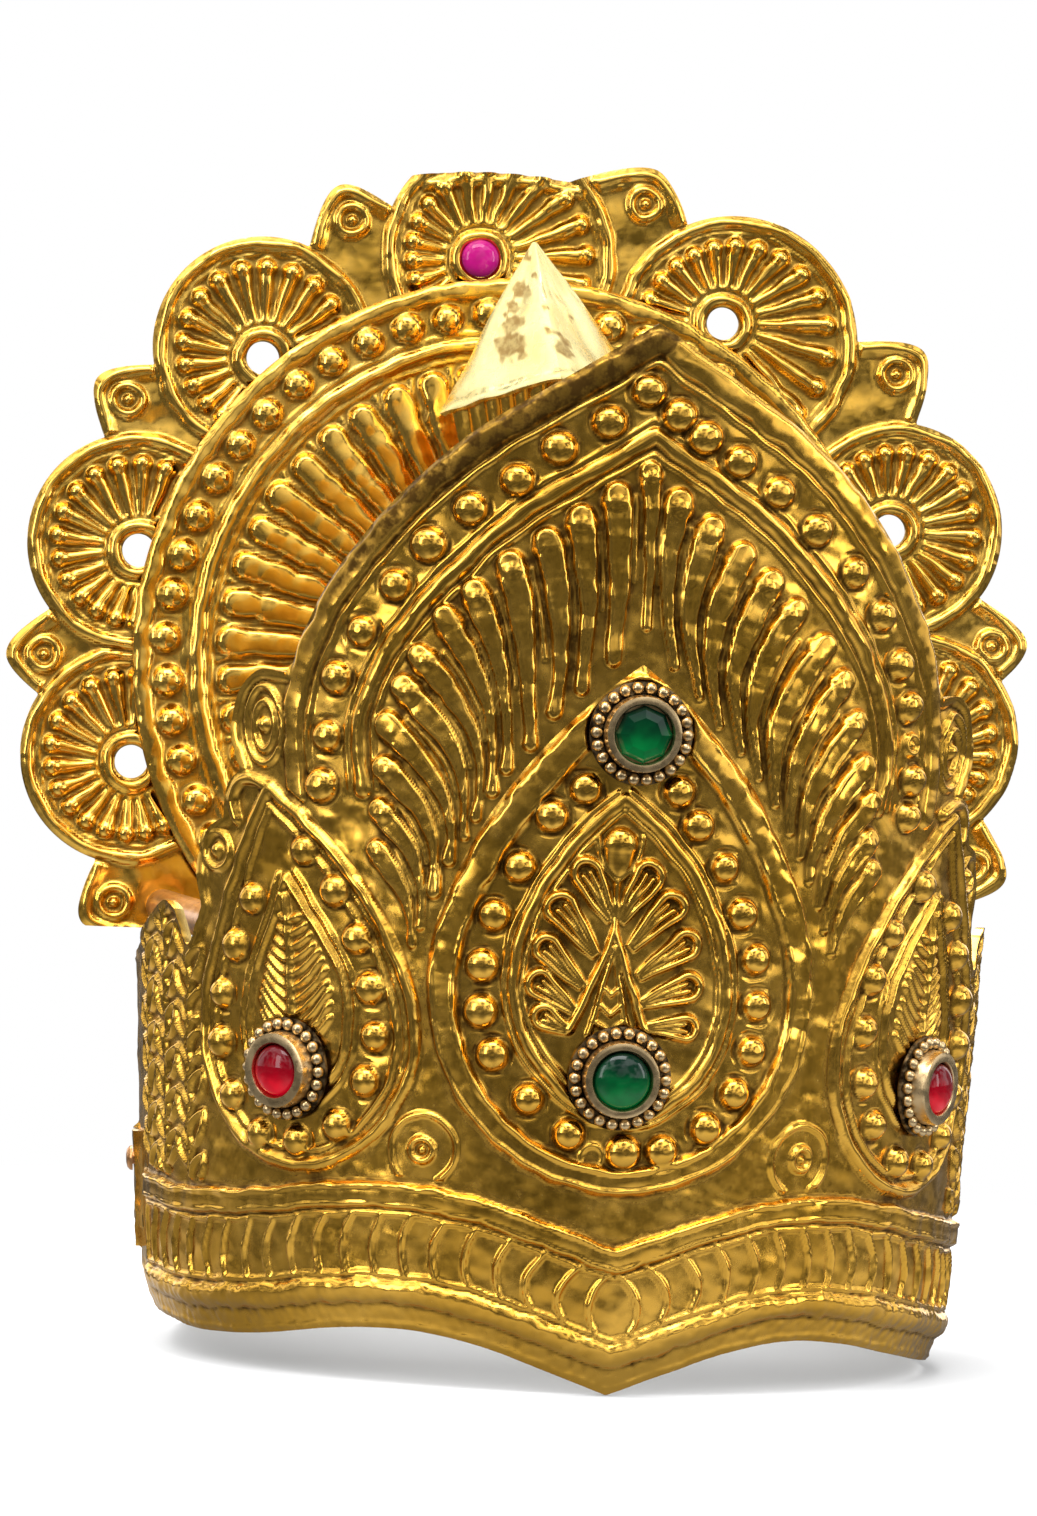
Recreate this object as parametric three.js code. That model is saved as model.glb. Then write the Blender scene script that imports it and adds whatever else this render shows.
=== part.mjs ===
// Deity crown of embossed gilt sheet, in millimetres, standing on z = 0 and facing -Y.
//
// A ring of two sheets flares upwards. The front sheet rises to a tall pointed arch, and a halo of
// two flat plates stands behind the ring: a scalloped petal plate with a ribbed disc in front of it.
// Places on the ring are given as (u, z): u is the distance round the wall from the front centre,
// measured at REFERENCE_RADIUS and positive towards +X, and z is the height.

import * as THREE from "three";

// Ring
const BASE_RADIUS = 83; // outside of the wall at the floor
const FLARE = 0.056; // growth of the radius with height
const REFERENCE_RADIUS = 88;
const WALL = 1.1; // sheet thickness
const GAP = 0.3; // clearance between pieces that touch
const SEAM_U = 149; // where the front sheet ends
const SEAM_GAP = 0.6;
const REAR_TOP = 80;
const TONGUE = { reach: 11, low: 20, high: 44, jog: 3 };
const SIDE_RIVET = { u: 143.5, z: 38 };
const RELIEF_FADE = { start: 126, end: 136 }; // the lap under the tongue is smooth

// Front sheet, right half; the left half mirrors it
const BOTTOM_EDGE = [
  { u: 0, z: 0 },
  { u: 13, z: 4.4 },
  { u: 28, z: 8.7 },
  { u: 43, z: 10.5 },
  { u: 60, z: 9.3 },
  { u: 80, z: 6.2 },
  { u: 105, z: 3 },
  { u: 130, z: 1 },
  { u: SEAM_U, z: 0 },
];
const ARCH_EDGE = [
  { u: 0, z: 209 },
  { u: 17, z: 197.5 },
  { u: 33, z: 187 },
  { u: 46, z: 175.5 },
  { u: 57, z: 163.5 },
  { u: 65.5, z: 151.5 },
  { u: 71, z: 139 },
  { u: 73, z: 127 },
  { u: 72, z: 115 },
];
const ARCH_ROWS_ABOVE_EAR = 7; // rows of ARCH_EDGE that are also the sheet's edge
const ARCH_APEX_SHIFT = 1.21; // fall of the apex for each millimetre of inset
const TOP_RUNS = [
  { name: "shoulder", points: [[149, 80], [136, 83.5], [122, 91], [111, 97.5], [106, 96]] },
  { name: "notch", points: [[106, 96], [101, 85], [96, 92]] },
  { name: "curled tab", points: [[96, 92], [97, 101], [93.5, 107.5], [88.5, 110]] },
  { name: "side arch", points: [[88.5, 110], [87, 116.5], [83, 119.5]] },
  { name: "ear", points: [[83, 119.5], [86, 127], [83.5, 135], [78, 139.5], [71, 139]] },
];
const EDGE_STEP = 5.2;
const EDGE_ROLL = [
  { inset: 2.4, height: 1.5 },
  { inset: 4.8, height: 0 },
];

// Ornament of the front sheet
const BOSS = { radius: 3.4, height: 2.3, sides: 10, crownSides: 5, crownReach: 0.5 };
const ARCH_BOSSES = { inset: 11, pitch: 10.2, count: 11 };
const ARCH_RIDGE = [
  { inset: 16, height: 0 },
  { inset: 18, height: 1.3 },
  { inset: 20, height: 0 },
];
const RIDGE_STEP = 9;
const PLUMES = { count: 12, inset: 22.5, pitch: 8.2, tailPitch: 6.4, bulge: 2.5, height: 1.5 };
const PLUME_CREST = [0, 0.3, 0.62, 0.92];
const PLUME_VALLEY = [0.12, 0.45, 0.78];
const DROPS = {
  centre: { u: 0, middle: 79.7, radius: 40, apex: 143, apexShift: 1.3, bosses: 21, skipApex: true },
  left: { u: -73, middle: 69.5, radius: 28.5, apex: 114, apexShift: 0.75, bosses: 15, skipApex: false },
  right: { u: 73, middle: 69.5, radius: 28.5, apex: 114, apexShift: 0.75, bosses: 15, skipApex: false },
};
const DROP_SINK = 0.25; // fall of the round part for each millimetre of inset
const DROP_SHOULDER = THREE.MathUtils.degToRad(70); // where the round part turns into the pointed one
const DROP_ROWS = {
  // rows of [inset, height], the inset of the bosses and the steps along the border
  centre: {
    border: [[0, 0], [1.8, 1.4], [5, 1.2], [6.8, 0]],
    bosses: 12.4,
    inner: [[16.4, 0], [18, 1.2], [19.6, 0]],
    steps: 34,
  },
  side: { border: [[0, 0], [2, 1.4], [4.2, 0]], bosses: 8.6, inner: [[14.4, 0], [16, 1.1]], steps: 23 },
};
const PALMETTE = { foot: 74, lobes: 5, reach: 15.5, rise: 31, height: 1.2 };
const RING_BOSSES = [
  { u: 40, z: 46.5, radius: 6.2 },
  { u: 77.5, z: 129, radius: 5 },
  { u: 91.5, z: 102.5, radius: 3.6 },
];
const BAND_RIDGES = [
  { rise: 7.6, half: 2, height: 1.3 },
  { rise: 27.4, half: 2.3, height: 1.5 },
];

// Settings and stones
const SETTINGS = [
  { name: "green_upper", u: 0, z: 129.7, colour: 0x006a38, cut: "table" },
  { name: "green_lower", u: -1, z: 62.5, colour: 0x006a38, cut: "cabochon" },
  { name: "red_left", u: -73.5, z: 61, colour: 0xb00020, cut: "cabochon" },
  { name: "red_right", u: 76.5, z: 61, colour: 0xb00020, cut: "cabochon" },
];
const SETTING = {
  radius: 10.2, cupRadius: 6.6, cupFloor: 2, height: 5, lip: 0.8, post: 1.4, postLength: 2.4, sides: 14,
};
const SEAT = { radius: 10.9, clear: 13.2, hole: 1.8, steps: 16 };
const STONE = { radius: 6.2, girdle: 1.1, rise: 4, tableRise: 3, tableRadius: 3.4, sides: 10 };

// Halo
const PLATE_Y = 87.9; // front face of the petal plate
const PETAL_CENTRE = { x: 3.5, z: 143 };
// Petals: degrees from straight up, distance of the round's middle, its radius, and the stone's own place
const PETALS = [
  { angle: -104, middle: 89.1, radius: 24.4, stone: [-105, 89.2] },
  { angle: -73.5, middle: 90.4, radius: 24.4, stone: [-74.5, 89.5] },
  { angle: -40.5, middle: 92.5, radius: 24.8, stone: [-41.5, 90.8] },
  { angle: -7, middle: 92.5, radius: 24.8, stone: [-7.5, 93.4], trimmed: 112 }, // cut flat at the top
  { angle: 31.5, middle: 93, radius: 26, stone: [28.5, 92] },
  { angle: 67.3, middle: 93.2, radius: 24.5, stone: [67, 91.5] },
  { angle: 97, middle: 92.3, radius: 24.4, stone: [99.5, 92] },
];
const PINK = { petal: 3, radius: 4.2, rise: 2.5, lift: 0.7 };
const PETAL = { hole: 3.7, collar: 5.6, collarHeight: 1.2, sides: 8 };
const LOBE = { slope: 1.2, round: 4.5, boss: 7.5 }; // fall of the sides, rounding of the tip, boss inset
const LOBES = [
  { angle: -121.5, reach: 112.6 },
  { angle: -90, reach: 114.8 },
  { angle: -57.5, reach: 115 },
  { angle: -22.5, reach: 116.3 },
  { angle: 13.2, reach: 118, before: 0.45 }, // a long slope towards the trimmed petal
  { angle: 49.8, reach: 118.8 },
  { angle: 84.5, reach: 117.8 },
  { angle: 110.5, reach: 122 },
];
const PLATE_BASE_RADIUS = 93;
const PLATE_LOW = 83;
const TAIL = { half: 30, low: 57, corner: 8 };
const FLUTES = {
  count: 9,
  fan: THREE.MathUtils.degToRad(230),
  crest: [[9, 0.6], [14, 1], [18.6, 1.4]], // rows of [reach, height]
  valley: 16.5,
};
const DISC_CENTRE = { x: 2.5, z: 145.5 };
const DISC = { radius: 86, low: 83.5, edgeSteps: 58, rimHeight: 1.3, standOff: 1.7 };
const DISC_BOSSES = { count: 58, ring: 78.4, radius: 3.1 };
const DISC_RIBS = { count: 40, outer: 67, inner: 36 };
const DISC_ROWS = [
  { radius: 82.7, height: 0, steps: 54 },
  { radius: 73.4, height: 0, steps: 40 },
  { radius: 71.4, height: 1.4, steps: 40 },
  { radius: 69.2, height: 0, steps: 40 },
];
const TAIL_RIVET = { x: 14, z: 68 };
const STAY = { x: 74.4, z: 88, front: -36, radius: 3.8, stub: 2.3, stubLength: 3.4, sides: 12 };

// Finial
const FINIAL = {
  x: 2, y: 57, edge: 206, rise: 32, corner: 23.5, norm: 1.1, droop: 5.5, lean: -6, steepness: 1.6,
};
const NECK = {
  // shares of the finial's width, and heights from its lower edge
  share: 0.88, wall: 0.8, flute: 0.05, flutes: 24, top: 0.5, low: -34, taper: 0.8,
};
const POST = { x: 4, z: 188, taper: 0.9, radius: 2.6, hole: 3.1, head: 4.6, headLength: 1.6 };

const GOLD = { color: 0xb08a2e, metalness: 1, roughness: 0.32 };
const BRIGHT_GOLD = { color: 0xd8a93a, metalness: 1, roughness: 0.28 };
const PALE_GOLD = { color: 0xe9d58a, metalness: 1, roughness: 0.3 };
const BRONZE = { color: 0x8a6a3c, metalness: 1, roughness: 0.45 };
const COPPER = { color: 0xb87441, metalness: 1, roughness: 0.4 };

const TRIANGULATION_JITTER = 2e-4; // keeps points on one circle from tying

/** Point on the ring's wall at (u, z), lifted outwards by the height. */
function onWall(u, z, height) {
  const angle = u / REFERENCE_RADIUS;
  const radius = BASE_RADIUS + FLARE * z + height;
  return new THREE.Vector3(radius * Math.sin(angle), -radius * Math.cos(angle), z);
}

/** Makes a placing function for a flat plate whose front face lies at y and looks along -Y. */
function onPlate(y) {
  return (x, z, height) => new THREE.Vector3(x, y - height, z);
}

/** Height of a wavy edge at the distance u, through a table of rows { u, z }. */
function waveHeight(rows, u) {
  const distance = Math.min(Math.abs(u), rows.at(-1).u);
  const next = Math.max(1, rows.findIndex((row) => row.u >= distance));
  const [from, to] = [rows[next - 1], rows[next]];
  const slopeAt = (k) => {
    const [a, b] = [rows[Math.max(0, k - 1)], rows[Math.min(rows.length - 1, k + 1)]];
    return (b.z - a.z) / (b.u - a.u);
  };
  const span = to.u - from.u;
  const t = (distance - from.u) / span;
  const rise = (1 + 2 * t) * (1 - t) ** 2 * from.z + t * t * (3 - 2 * t) * to.z;
  return rise + span * t * (1 - t) * ((1 - t) * slopeAt(next - 1) - t * slopeAt(next));
}

/** Points about one step apart along a smooth curve through the given [x, y] pairs. */
function smoothRun(pairs, step) {
  const curve = new THREE.SplineCurve(pairs.map(([x, y]) => new THREE.Vector2(x, y)));
  return curve.getSpacedPoints(Math.max(1, Math.round(curve.getLength() / step)));
}

/** Points of a circle, clockwise as a hole's edge runs. */
function holeLoop(x, y, radius, sides) {
  return Array.from({ length: sides }, (_, i) => {
    const angle = (-2 * Math.PI * i) / sides;
    return new THREE.Vector2(x + radius * Math.cos(angle), y + radius * Math.sin(angle));
  });
}

/** Joins runs of points end to end, without the points that repeat. */
function joinRuns(runs) {
  const joined = [];
  for (const point of runs.flat()) {
    if (joined.length === 0 || joined.at(-1).distanceTo(point) > 0.05) joined.push(point);
  }
  if (joined[0].distanceTo(joined.at(-1)) < 0.05) joined.pop();
  return joined;
}

/** Closed run with extra points on its long edges, so that no edge is longer than the step. */
function fillEdges(loop, step) {
  return loop.flatMap((from, i) => {
    const to = loop[(i + 1) % loop.length];
    const parts = Math.ceil(from.distanceTo(to) / step);
    return Array.from({ length: parts }, (_, k) => from.clone().lerp(to, k / parts));
  });
}

/** True where the point lies inside an odd number of the loops. */
function isInside(x, y, loops) {
  let inside = false;
  for (const loop of loops) {
    loop.forEach((a, i) => {
      const b = loop[(i + 1) % loop.length];
      const crosses = a.y > y !== b.y > y;
      if (crosses && x < a.x + ((y - a.y) * (b.x - a.x)) / (b.y - a.y)) inside = !inside;
    });
  }
  return inside;
}

/** Shortest distance from a point to the loops. */
function edgeDistance(x, y, loops) {
  let best = Infinity;
  for (const loop of loops) {
    loop.forEach((a, i) => {
      const b = loop[(i + 1) % loop.length];
      const [dx, dy] = [b.x - a.x, b.y - a.y];
      const along = ((x - a.x) * dx + (y - a.y) * dy) / (dx * dx + dy * dy);
      const t = THREE.MathUtils.clamp(along, 0, 1);
      best = Math.min(best, Math.hypot(x - a.x - t * dx, y - a.y - t * dy));
    });
  }
  return best;
}

/** Delaunay triangles of scattered points, counter-clockwise, by adding one point at a time. */
function delaunay(points) {
  const count = points.length;
  const far = 1e5;
  const all = points.map((p, i) => [
    p[0] + TRIANGULATION_JITTER * Math.sin(12.9898 * (i + 1)),
    p[1] + TRIANGULATION_JITTER * Math.cos(78.233 * (i + 1)),
  ]);
  all.push([-far, -far], [far, -far], [0, far]);
  const withCircle = (a, b, c) => {
    const [ax, ay] = all[a];
    const [bx, by] = [all[b][0] - ax, all[b][1] - ay];
    const [cx, cy] = [all[c][0] - ax, all[c][1] - ay];
    const twice = 2 * (bx * cy - by * cx);
    const x = (cy * (bx * bx + by * by) - by * (cx * cx + cy * cy)) / twice;
    const y = (bx * (cx * cx + cy * cy) - cx * (bx * bx + by * by)) / twice;
    return { corners: [a, b, c], x: ax + x, y: ay + y, reach: x * x + y * y };
  };
  let triangles = [withCircle(count, count + 1, count + 2)];
  for (let i = 0; i < count; i += 1) {
    const [x, y] = all[i];
    const rim = new Map();
    triangles = triangles.filter((triangle) => {
      if ((x - triangle.x) ** 2 + (y - triangle.y) ** 2 > triangle.reach) return true;
      triangle.corners.forEach((a, k) => {
        const b = triangle.corners[(k + 1) % 3];
        if (!rim.delete(`${b},${a}`)) rim.set(`${a},${b}`, [a, b]);
      });
      return false;
    });
    for (const [a, b] of rim.values()) triangles.push(withCircle(a, b, i));
  }
  return triangles.map((triangle) => triangle.corners).filter((corners) => Math.max(...corners) < count);
}

/** Triangles of the points that lie inside the loops, whose own points come first. */
function sheetTriangles(points, loops) {
  const smallestArea = 1e-2;
  const triangles = delaunay(points).filter((corners) => {
    const [a, b, c] = corners.map((i) => points[i]);
    const area = ((b[0] - a[0]) * (c[1] - a[1]) - (c[0] - a[0]) * (b[1] - a[1])) / 2;
    return area > smallestArea && isInside((a[0] + b[0] + c[0]) / 3, (a[1] + b[1] + c[1]) / 3, loops);
  });
  const rim = new Map();
  for (const corners of triangles) {
    corners.forEach((a, k) => {
      const b = corners[(k + 1) % 3];
      if (!rim.delete(`${b},${a}`)) rim.set(`${a},${b}`, [a, b]);
    });
  }
  let first = 0;
  for (const loop of loops) {
    loop.forEach((point, i) => {
      const [a, b] = [first + i, first + ((i + 1) % loop.length)];
      if (!rim.has(`${a},${b}`)) throw new Error(`the sheet's edge breaks at ${point.x}, ${point.y}`);
    });
    first += loop.length;
  }
  if (rim.size !== first) throw new Error("the sheet has an edge inside its outline");
  return { triangles, rim: [...rim.values()] };
}

/** Raised points of a sheet's front face, kept apart from each other, from its edges and its seats. */
class Relief {
  constructor(loops, { edgeClear, pointClear, seats = [] }) {
    this.loops = loops;
    this.edgeClear = edgeClear;
    this.pointClear = pointClear;
    this.seats = seats;
    this.points = [];
  }

  add(x, y, height) {
    if (this.seats.some((seat) => Math.hypot(x - seat.x, y - seat.y) < seat.radius)) return;
    if (this.points.some((p) => Math.hypot(x - p[0], y - p[1]) < this.pointClear)) return;
    if (!isInside(x, y, this.loops) || edgeDistance(x, y, this.loops) < this.edgeClear) return;
    this.points.push([x, y, height]);
  }

  addRing(x, y, radius, sides, height) {
    for (let i = 0; i < sides; i += 1) {
      const angle = (2 * Math.PI * i) / sides;
      this.add(x + radius * Math.cos(angle), y + radius * Math.sin(angle), height);
    }
  }

  addBoss(x, y, radius = BOSS.radius) {
    const reach = radius + this.edgeClear;
    if (!isInside(x, y, this.loops) || edgeDistance(x, y, this.loops) < reach) return;
    if (this.seats.some((seat) => Math.hypot(x - seat.x, y - seat.y) < seat.radius + radius)) return;
    this.addRing(x, y, radius, BOSS.sides, 0);
    this.addRing(x, y, radius * BOSS.crownReach, BOSS.crownSides, BOSS.height);
  }

  /** Flat points of the ground, wherever no other point is near. */
  addGround(points, clear) {
    for (const [x, y] of points) {
      if (this.points.every((p) => Math.hypot(x - p[0], y - p[1]) > clear)) this.add(x, y, 0);
    }
  }

  /** Rows that follow the edges inwards, for a rolled border. */
  addEdgeRows(rows, reachesHere = () => true) {
    for (const { inset, height } of rows) {
      for (const loop of this.loops) {
        loop.forEach((point, i) => {
          const along = loop[(i + 1) % loop.length].clone().sub(loop.at(i - 1)).normalize();
          const [x, y] = [point.x - along.y * inset, point.y + along.x * inset];
          const clear = edgeDistance(x, y, this.loops) > 0.85 * inset;
          if (clear && reachesHere(point.x, point.y)) this.add(x, y, height);
        });
      }
    }
  }
}

/** Closed sheet of even thickness behind a raised front face. */
function embossedSheet({ loops, relief, place, backPoints, edgeLift = () => 0, backLift = () => 0 }) {
  const edge = loops.flat().map((p) => [p.x, p.y, edgeLift(p.x, p.y)]);
  const front = [...edge, ...relief];
  const back = [...edge, ...backPoints];
  const faces = sheetTriangles(front, loops);
  const reverse = sheetTriangles(back, loops);
  const corners = [];
  for (const [x, y, height] of front) corners.push(place(x, y, height));
  for (const [x, y] of back) corners.push(place(x, y, backLift(x, y) - WALL));
  const behind = (i) => i + front.length;
  const index = [...faces.triangles.flat()];
  for (const [a, b, c] of reverse.triangles) index.push(behind(a), behind(c), behind(b));
  for (const [a, b] of faces.rim) index.push(a, behind(a), behind(b), a, behind(b), b);
  const geometry = new THREE.BufferGeometry().setFromPoints(corners);
  geometry.setIndex(index);
  return geometry;
}

/** Coarse points for a sheet's plain back. */
function backGrid(loops, stepX, stepY, clear) {
  const box = new THREE.Box2().setFromPoints(loops[0]);
  const points = [];
  for (let x = box.min.x + stepX / 2; x < box.max.x; x += stepX) {
    for (let y = box.min.y + stepY / 2; y < box.max.y; y += stepY) {
      if (isInside(x, y, loops) && edgeDistance(x, y, loops) > clear) points.push([x, y]);
    }
  }
  return points;
}

/** Pointed drop, as a closed run of points from its apex down the left side and round. */
function dropRun(drop, inset, count) {
  const radius = drop.radius - inset;
  const middle = drop.middle - DROP_SINK * inset;
  const apex = drop.apex - drop.apexShift * inset;
  const side = radius * Math.sin(DROP_SHOULDER);
  const shoulder = middle + radius * Math.cos(DROP_SHOULDER);
  const pull = 0.5 * Math.hypot(side, apex - shoulder);
  const bowX = side - pull * Math.cos(DROP_SHOULDER);
  const bowY = shoulder + pull * Math.sin(DROP_SHOULDER);
  const path = new THREE.Path();
  path.moveTo(drop.u, apex);
  path.quadraticCurveTo(drop.u - bowX, bowY, drop.u - side, shoulder);
  path.absarc(drop.u, middle, radius, Math.PI / 2 + DROP_SHOULDER, 2.5 * Math.PI - DROP_SHOULDER, false);
  path.quadraticCurveTo(drop.u + bowX, bowY, drop.u, apex);
  return path.getSpacedPoints(count).slice(0, count);
}

/** Run beside the right half of the arch's edge, from the apex down, at an inset from it. */
function archRun(inset, step) {
  const edge = smoothRun(ARCH_EDGE.map(({ u, z }) => [u, z]), step);
  const run = [new THREE.Vector2(0, ARCH_EDGE[0].z - ARCH_APEX_SHIFT * inset)];
  edge.forEach((point, i) => {
    const along = edge[Math.min(i + 1, edge.length - 1)].clone().sub(edge[Math.max(i - 1, 0)]).normalize();
    const inner = new THREE.Vector2(point.x + along.y * inset, point.y - along.x * inset);
    if (inner.x > step / 2) run.push(inner);
  });
  return run;
}

/** Point at a distance along a run. */
function alongRun(run, distance) {
  let left = distance;
  for (let i = 1; i < run.length; i += 1) {
    const length = run[i].distanceTo(run[i - 1]);
    if (left <= length) return run[i - 1].clone().lerp(run[i], left / length);
    left -= length;
  }
  return run.at(-1).clone();
}

/** Outline of the front sheet, counter-clockwise from the point at the bottom. */
function frontOutline() {
  const steps = Math.round(SEAM_U / EDGE_STEP);
  const bottom = Array.from({ length: steps + 1 }, (_, i) => {
    const u = (SEAM_U * i) / steps;
    return new THREE.Vector2(u, waveHeight(BOTTOM_EDGE, u));
  });
  const seam = smoothRun([[SEAM_U, 0], [SEAM_U, REAR_TOP]], EDGE_STEP);
  const top = TOP_RUNS.map((run) => smoothRun(run.points, EDGE_STEP));
  const arch = smoothRun(ARCH_EDGE.slice(0, ARCH_ROWS_ABOVE_EAR).map(({ u, z }) => [u, z]), EDGE_STEP);
  const right = joinRuns([bottom, seam, ...top, arch.reverse()]);
  const left = right.slice(1, -1).reverse().map((p) => new THREE.Vector2(-p.x, p.y));
  return [...right, ...left];
}

/** Raises the arch's bosses, ridge and fan of plumes on one side. */
function addArch(relief, side) {
  const bosses = archRun(ARCH_BOSSES.inset, 2);
  for (let i = 0; i <= ARCH_BOSSES.count; i += 1) {
    const place = alongRun(bosses, i * ARCH_BOSSES.pitch);
    relief.addBoss(side * place.x, place.y);
  }
  for (const { inset, height } of ARCH_RIDGE) {
    for (const point of archRun(inset, RIDGE_STEP)) relief.add(side * point.x, point.y, height);
  }
  const heads = archRun(PLUMES.inset, 2);
  const drop = dropRun(DROPS.centre, -1.5, 120).reverse();
  drop.unshift(new THREE.Vector2(DROPS.centre.u, DROPS.centre.apex + 2));
  const plume = (k, t) => {
    const head = alongRun(heads, k * PLUMES.pitch);
    const tail = alongRun(drop, k * PLUMES.tailPitch);
    const point = head.lerp(tail, t);
    point.x += PLUMES.bulge * Math.sin(Math.PI * t) * Math.min(1, k / 3);
    return point;
  };
  for (let k = 0; k < PLUMES.count; k += 1) {
    for (const t of PLUME_CREST) {
      const point = plume(k, t);
      relief.add(side * point.x, point.y, PLUMES.height * (1 - 0.6 * t));
    }
    for (const t of PLUME_VALLEY) {
      const point = plume(k + 0.5, t);
      relief.add(side * point.x, point.y, 0);
    }
  }
}

/** Raises a drop's border, its bosses and its inner ridge. */
function addDrop(relief, drop, rows) {
  const bosses = dropRun(drop, rows.bosses, drop.bosses);
  bosses.slice(drop.skipApex ? 1 : 0).forEach((p) => relief.addBoss(p.x, p.y));
  for (const [inset, height] of rows.border) {
    for (const p of dropRun(drop, inset, rows.steps)) relief.add(p.x, p.y, height);
  }
  for (const [inset, height] of rows.inner) {
    for (const p of dropRun(drop, inset, Math.round(rows.steps * 0.6))) relief.add(p.x, p.y, height);
  }
}

/** Raises the leaf of lobes inside the centre drop. */
function addPalmette(relief) {
  for (const side of [-1, 1]) {
    for (let i = 0; i <= PALMETTE.lobes; i += 1) {
      const angle = (i / PALMETTE.lobes) * (Math.PI / 2);
      const [across, up] = [PALMETTE.reach * Math.sin(angle), PALMETTE.rise * Math.cos(angle)];
      for (const t of [1, 0.55]) relief.add(side * across * t, PALMETTE.foot + up * t, PALMETTE.height * t);
    }
  }
}

/** Raises the rings of small round bosses on both sides. */
function addRingBosses(relief) {
  for (const { u, z, radius } of RING_BOSSES) {
    for (const side of [-1, 1]) {
      relief.add(side * u, z, 0.9);
      relief.addRing(side * u, z, radius * 0.6, 8, 1);
      relief.addRing(side * u, z, radius, 8, 0);
    }
  }
}

/** Raises the two rolled ridges of the lower band. */
function addBand(relief) {
  const stations = 2 * Math.round(SEAM_U / RIDGE_STEP);
  for (const { rise, half, height } of BAND_RIDGES) {
    for (const [offset, share] of [[-half, 0], [0, 1], [half, 0]]) {
      for (let i = 0; i <= stations; i += 1) {
        const u = SEAM_U * ((2 * i) / stations - 1);
        const fade = 1 - THREE.MathUtils.smoothstep(Math.abs(u), RELIEF_FADE.start, RELIEF_FADE.end);
        relief.add(u, waveHeight(BOTTOM_EDGE, u) + rise + offset, height * share * fade);
      }
    }
  }
}

/** The embossed sheet of the front and sides. */
function frontSheet() {
  const posts = SETTINGS.map(({ u, z }) => holeLoop(u, z, SEAT.hole, 8));
  const rivets = [-1, 1].map((side) => holeLoop(side * SIDE_RIVET.u, SIDE_RIVET.z, 1.7, 8));
  const loops = [frontOutline(), ...posts, ...rivets];
  const relief = new Relief(loops, { edgeClear: 2.4, pointClear: 1.3 });
  for (const { u, z } of SETTINGS) {
    relief.addRing(u, z, SEAT.radius, SEAT.steps, 0);
    relief.addRing(u, z, SEAT.radius / 2, 8, 0);
  }
  relief.seats = SETTINGS.map(({ u, z }) => ({ x: u, y: z, radius: SEAT.clear }));
  addArch(relief, 1);
  addArch(relief, -1);
  addDrop(relief, DROPS.centre, DROP_ROWS.centre);
  addDrop(relief, DROPS.left, DROP_ROWS.side);
  addDrop(relief, DROPS.right, DROP_ROWS.side);
  addPalmette(relief);
  addRingBosses(relief);
  addBand(relief);
  relief.addEdgeRows(EDGE_ROLL, (u, z) => z > REAR_TOP && Math.abs(u) < SEAM_U - 1);
  relief.addGround(backGrid(loops, 12, 12, 4), 8);
  const backPoints = backGrid(loops, 13, 40, 4);
  return embossedSheet({ loops, relief: relief.points, place: onWall, backPoints });
}

/** The plain sheet that closes the ring, with a tongue lapped over each end of the front sheet. */
function rearSheet() {
  const turn = 2 * Math.PI * REFERENCE_RADIUS;
  const start = SEAM_U + SEAM_GAP;
  const tip = SEAM_U - TONGUE.reach;
  const step = 9;
  const corners = [
    [start, REAR_TOP], [start, TONGUE.high], [tip, TONGUE.high],
    [tip, TONGUE.low], [start, TONGUE.low], [start, 0],
  ];
  const near = joinRuns(corners.slice(1).map((corner, i) => smoothRun([corners[i], corner], EDGE_STEP)));
  const bottom = smoothRun([[start, 0], [turn - start, 0]], step);
  const far = near.map((p) => new THREE.Vector2(turn - p.x, p.y)).reverse();
  const top = smoothRun([[turn - start, REAR_TOP], [start, REAR_TOP]], step);
  const outline = joinRuns([near, bottom, far, top]);
  const tailHole = Math.asin(TAIL_RIVET.x / (BASE_RADIUS + FLARE * TAIL_RIVET.z)) * REFERENCE_RADIUS;
  const loops = [
    outline,
    ...[-1, 1].map((side) => holeLoop(turn / 2 + side * tailHole, TAIL_RIVET.z, 1.9, 8)),
    ...[SIDE_RIVET.u, turn - SIDE_RIVET.u].map((u) => holeLoop(u, SIDE_RIVET.z, 1.7, 8)),
  ];
  const lift = (u) => {
    const inward = Math.min(u, turn - u) - start;
    return (WALL + GAP) * (1 - THREE.MathUtils.smoothstep(inward, 0.1, TONGUE.jog));
  };
  const tongueLift = (u, z) => (z > TONGUE.low - 1 && z < TONGUE.high + 1 ? lift(u) : 0);
  const points = [];
  for (let z = TONGUE.low + 6; z < TONGUE.high - 4; z += 6) {
    for (const u of [start, start + TONGUE.jog]) points.push([u, z, lift(u)], [turn - u, z, lift(u)]);
  }
  for (const [u, z] of backGrid(loops, 10, 40, 6)) {
    if (points.every((p) => Math.hypot(u - p[0], z - p[1]) > 5)) points.push([u, z, tongueLift(u, z)]);
  }
  return embossedSheet({
    loops, relief: points, place: onWall, backPoints: points, edgeLift: tongueLift, backLift: tongueLift,
  });
}

/** Place on the petal plate at an angle from straight up and a distance from its centre. */
function petalPlace(degrees, reach) {
  const angle = THREE.MathUtils.degToRad(degrees);
  const [across, up] = [reach * Math.sin(angle), reach * Math.cos(angle)];
  return new THREE.Vector2(PETAL_CENTRE.x + across, PETAL_CENTRE.z + up);
}

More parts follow.
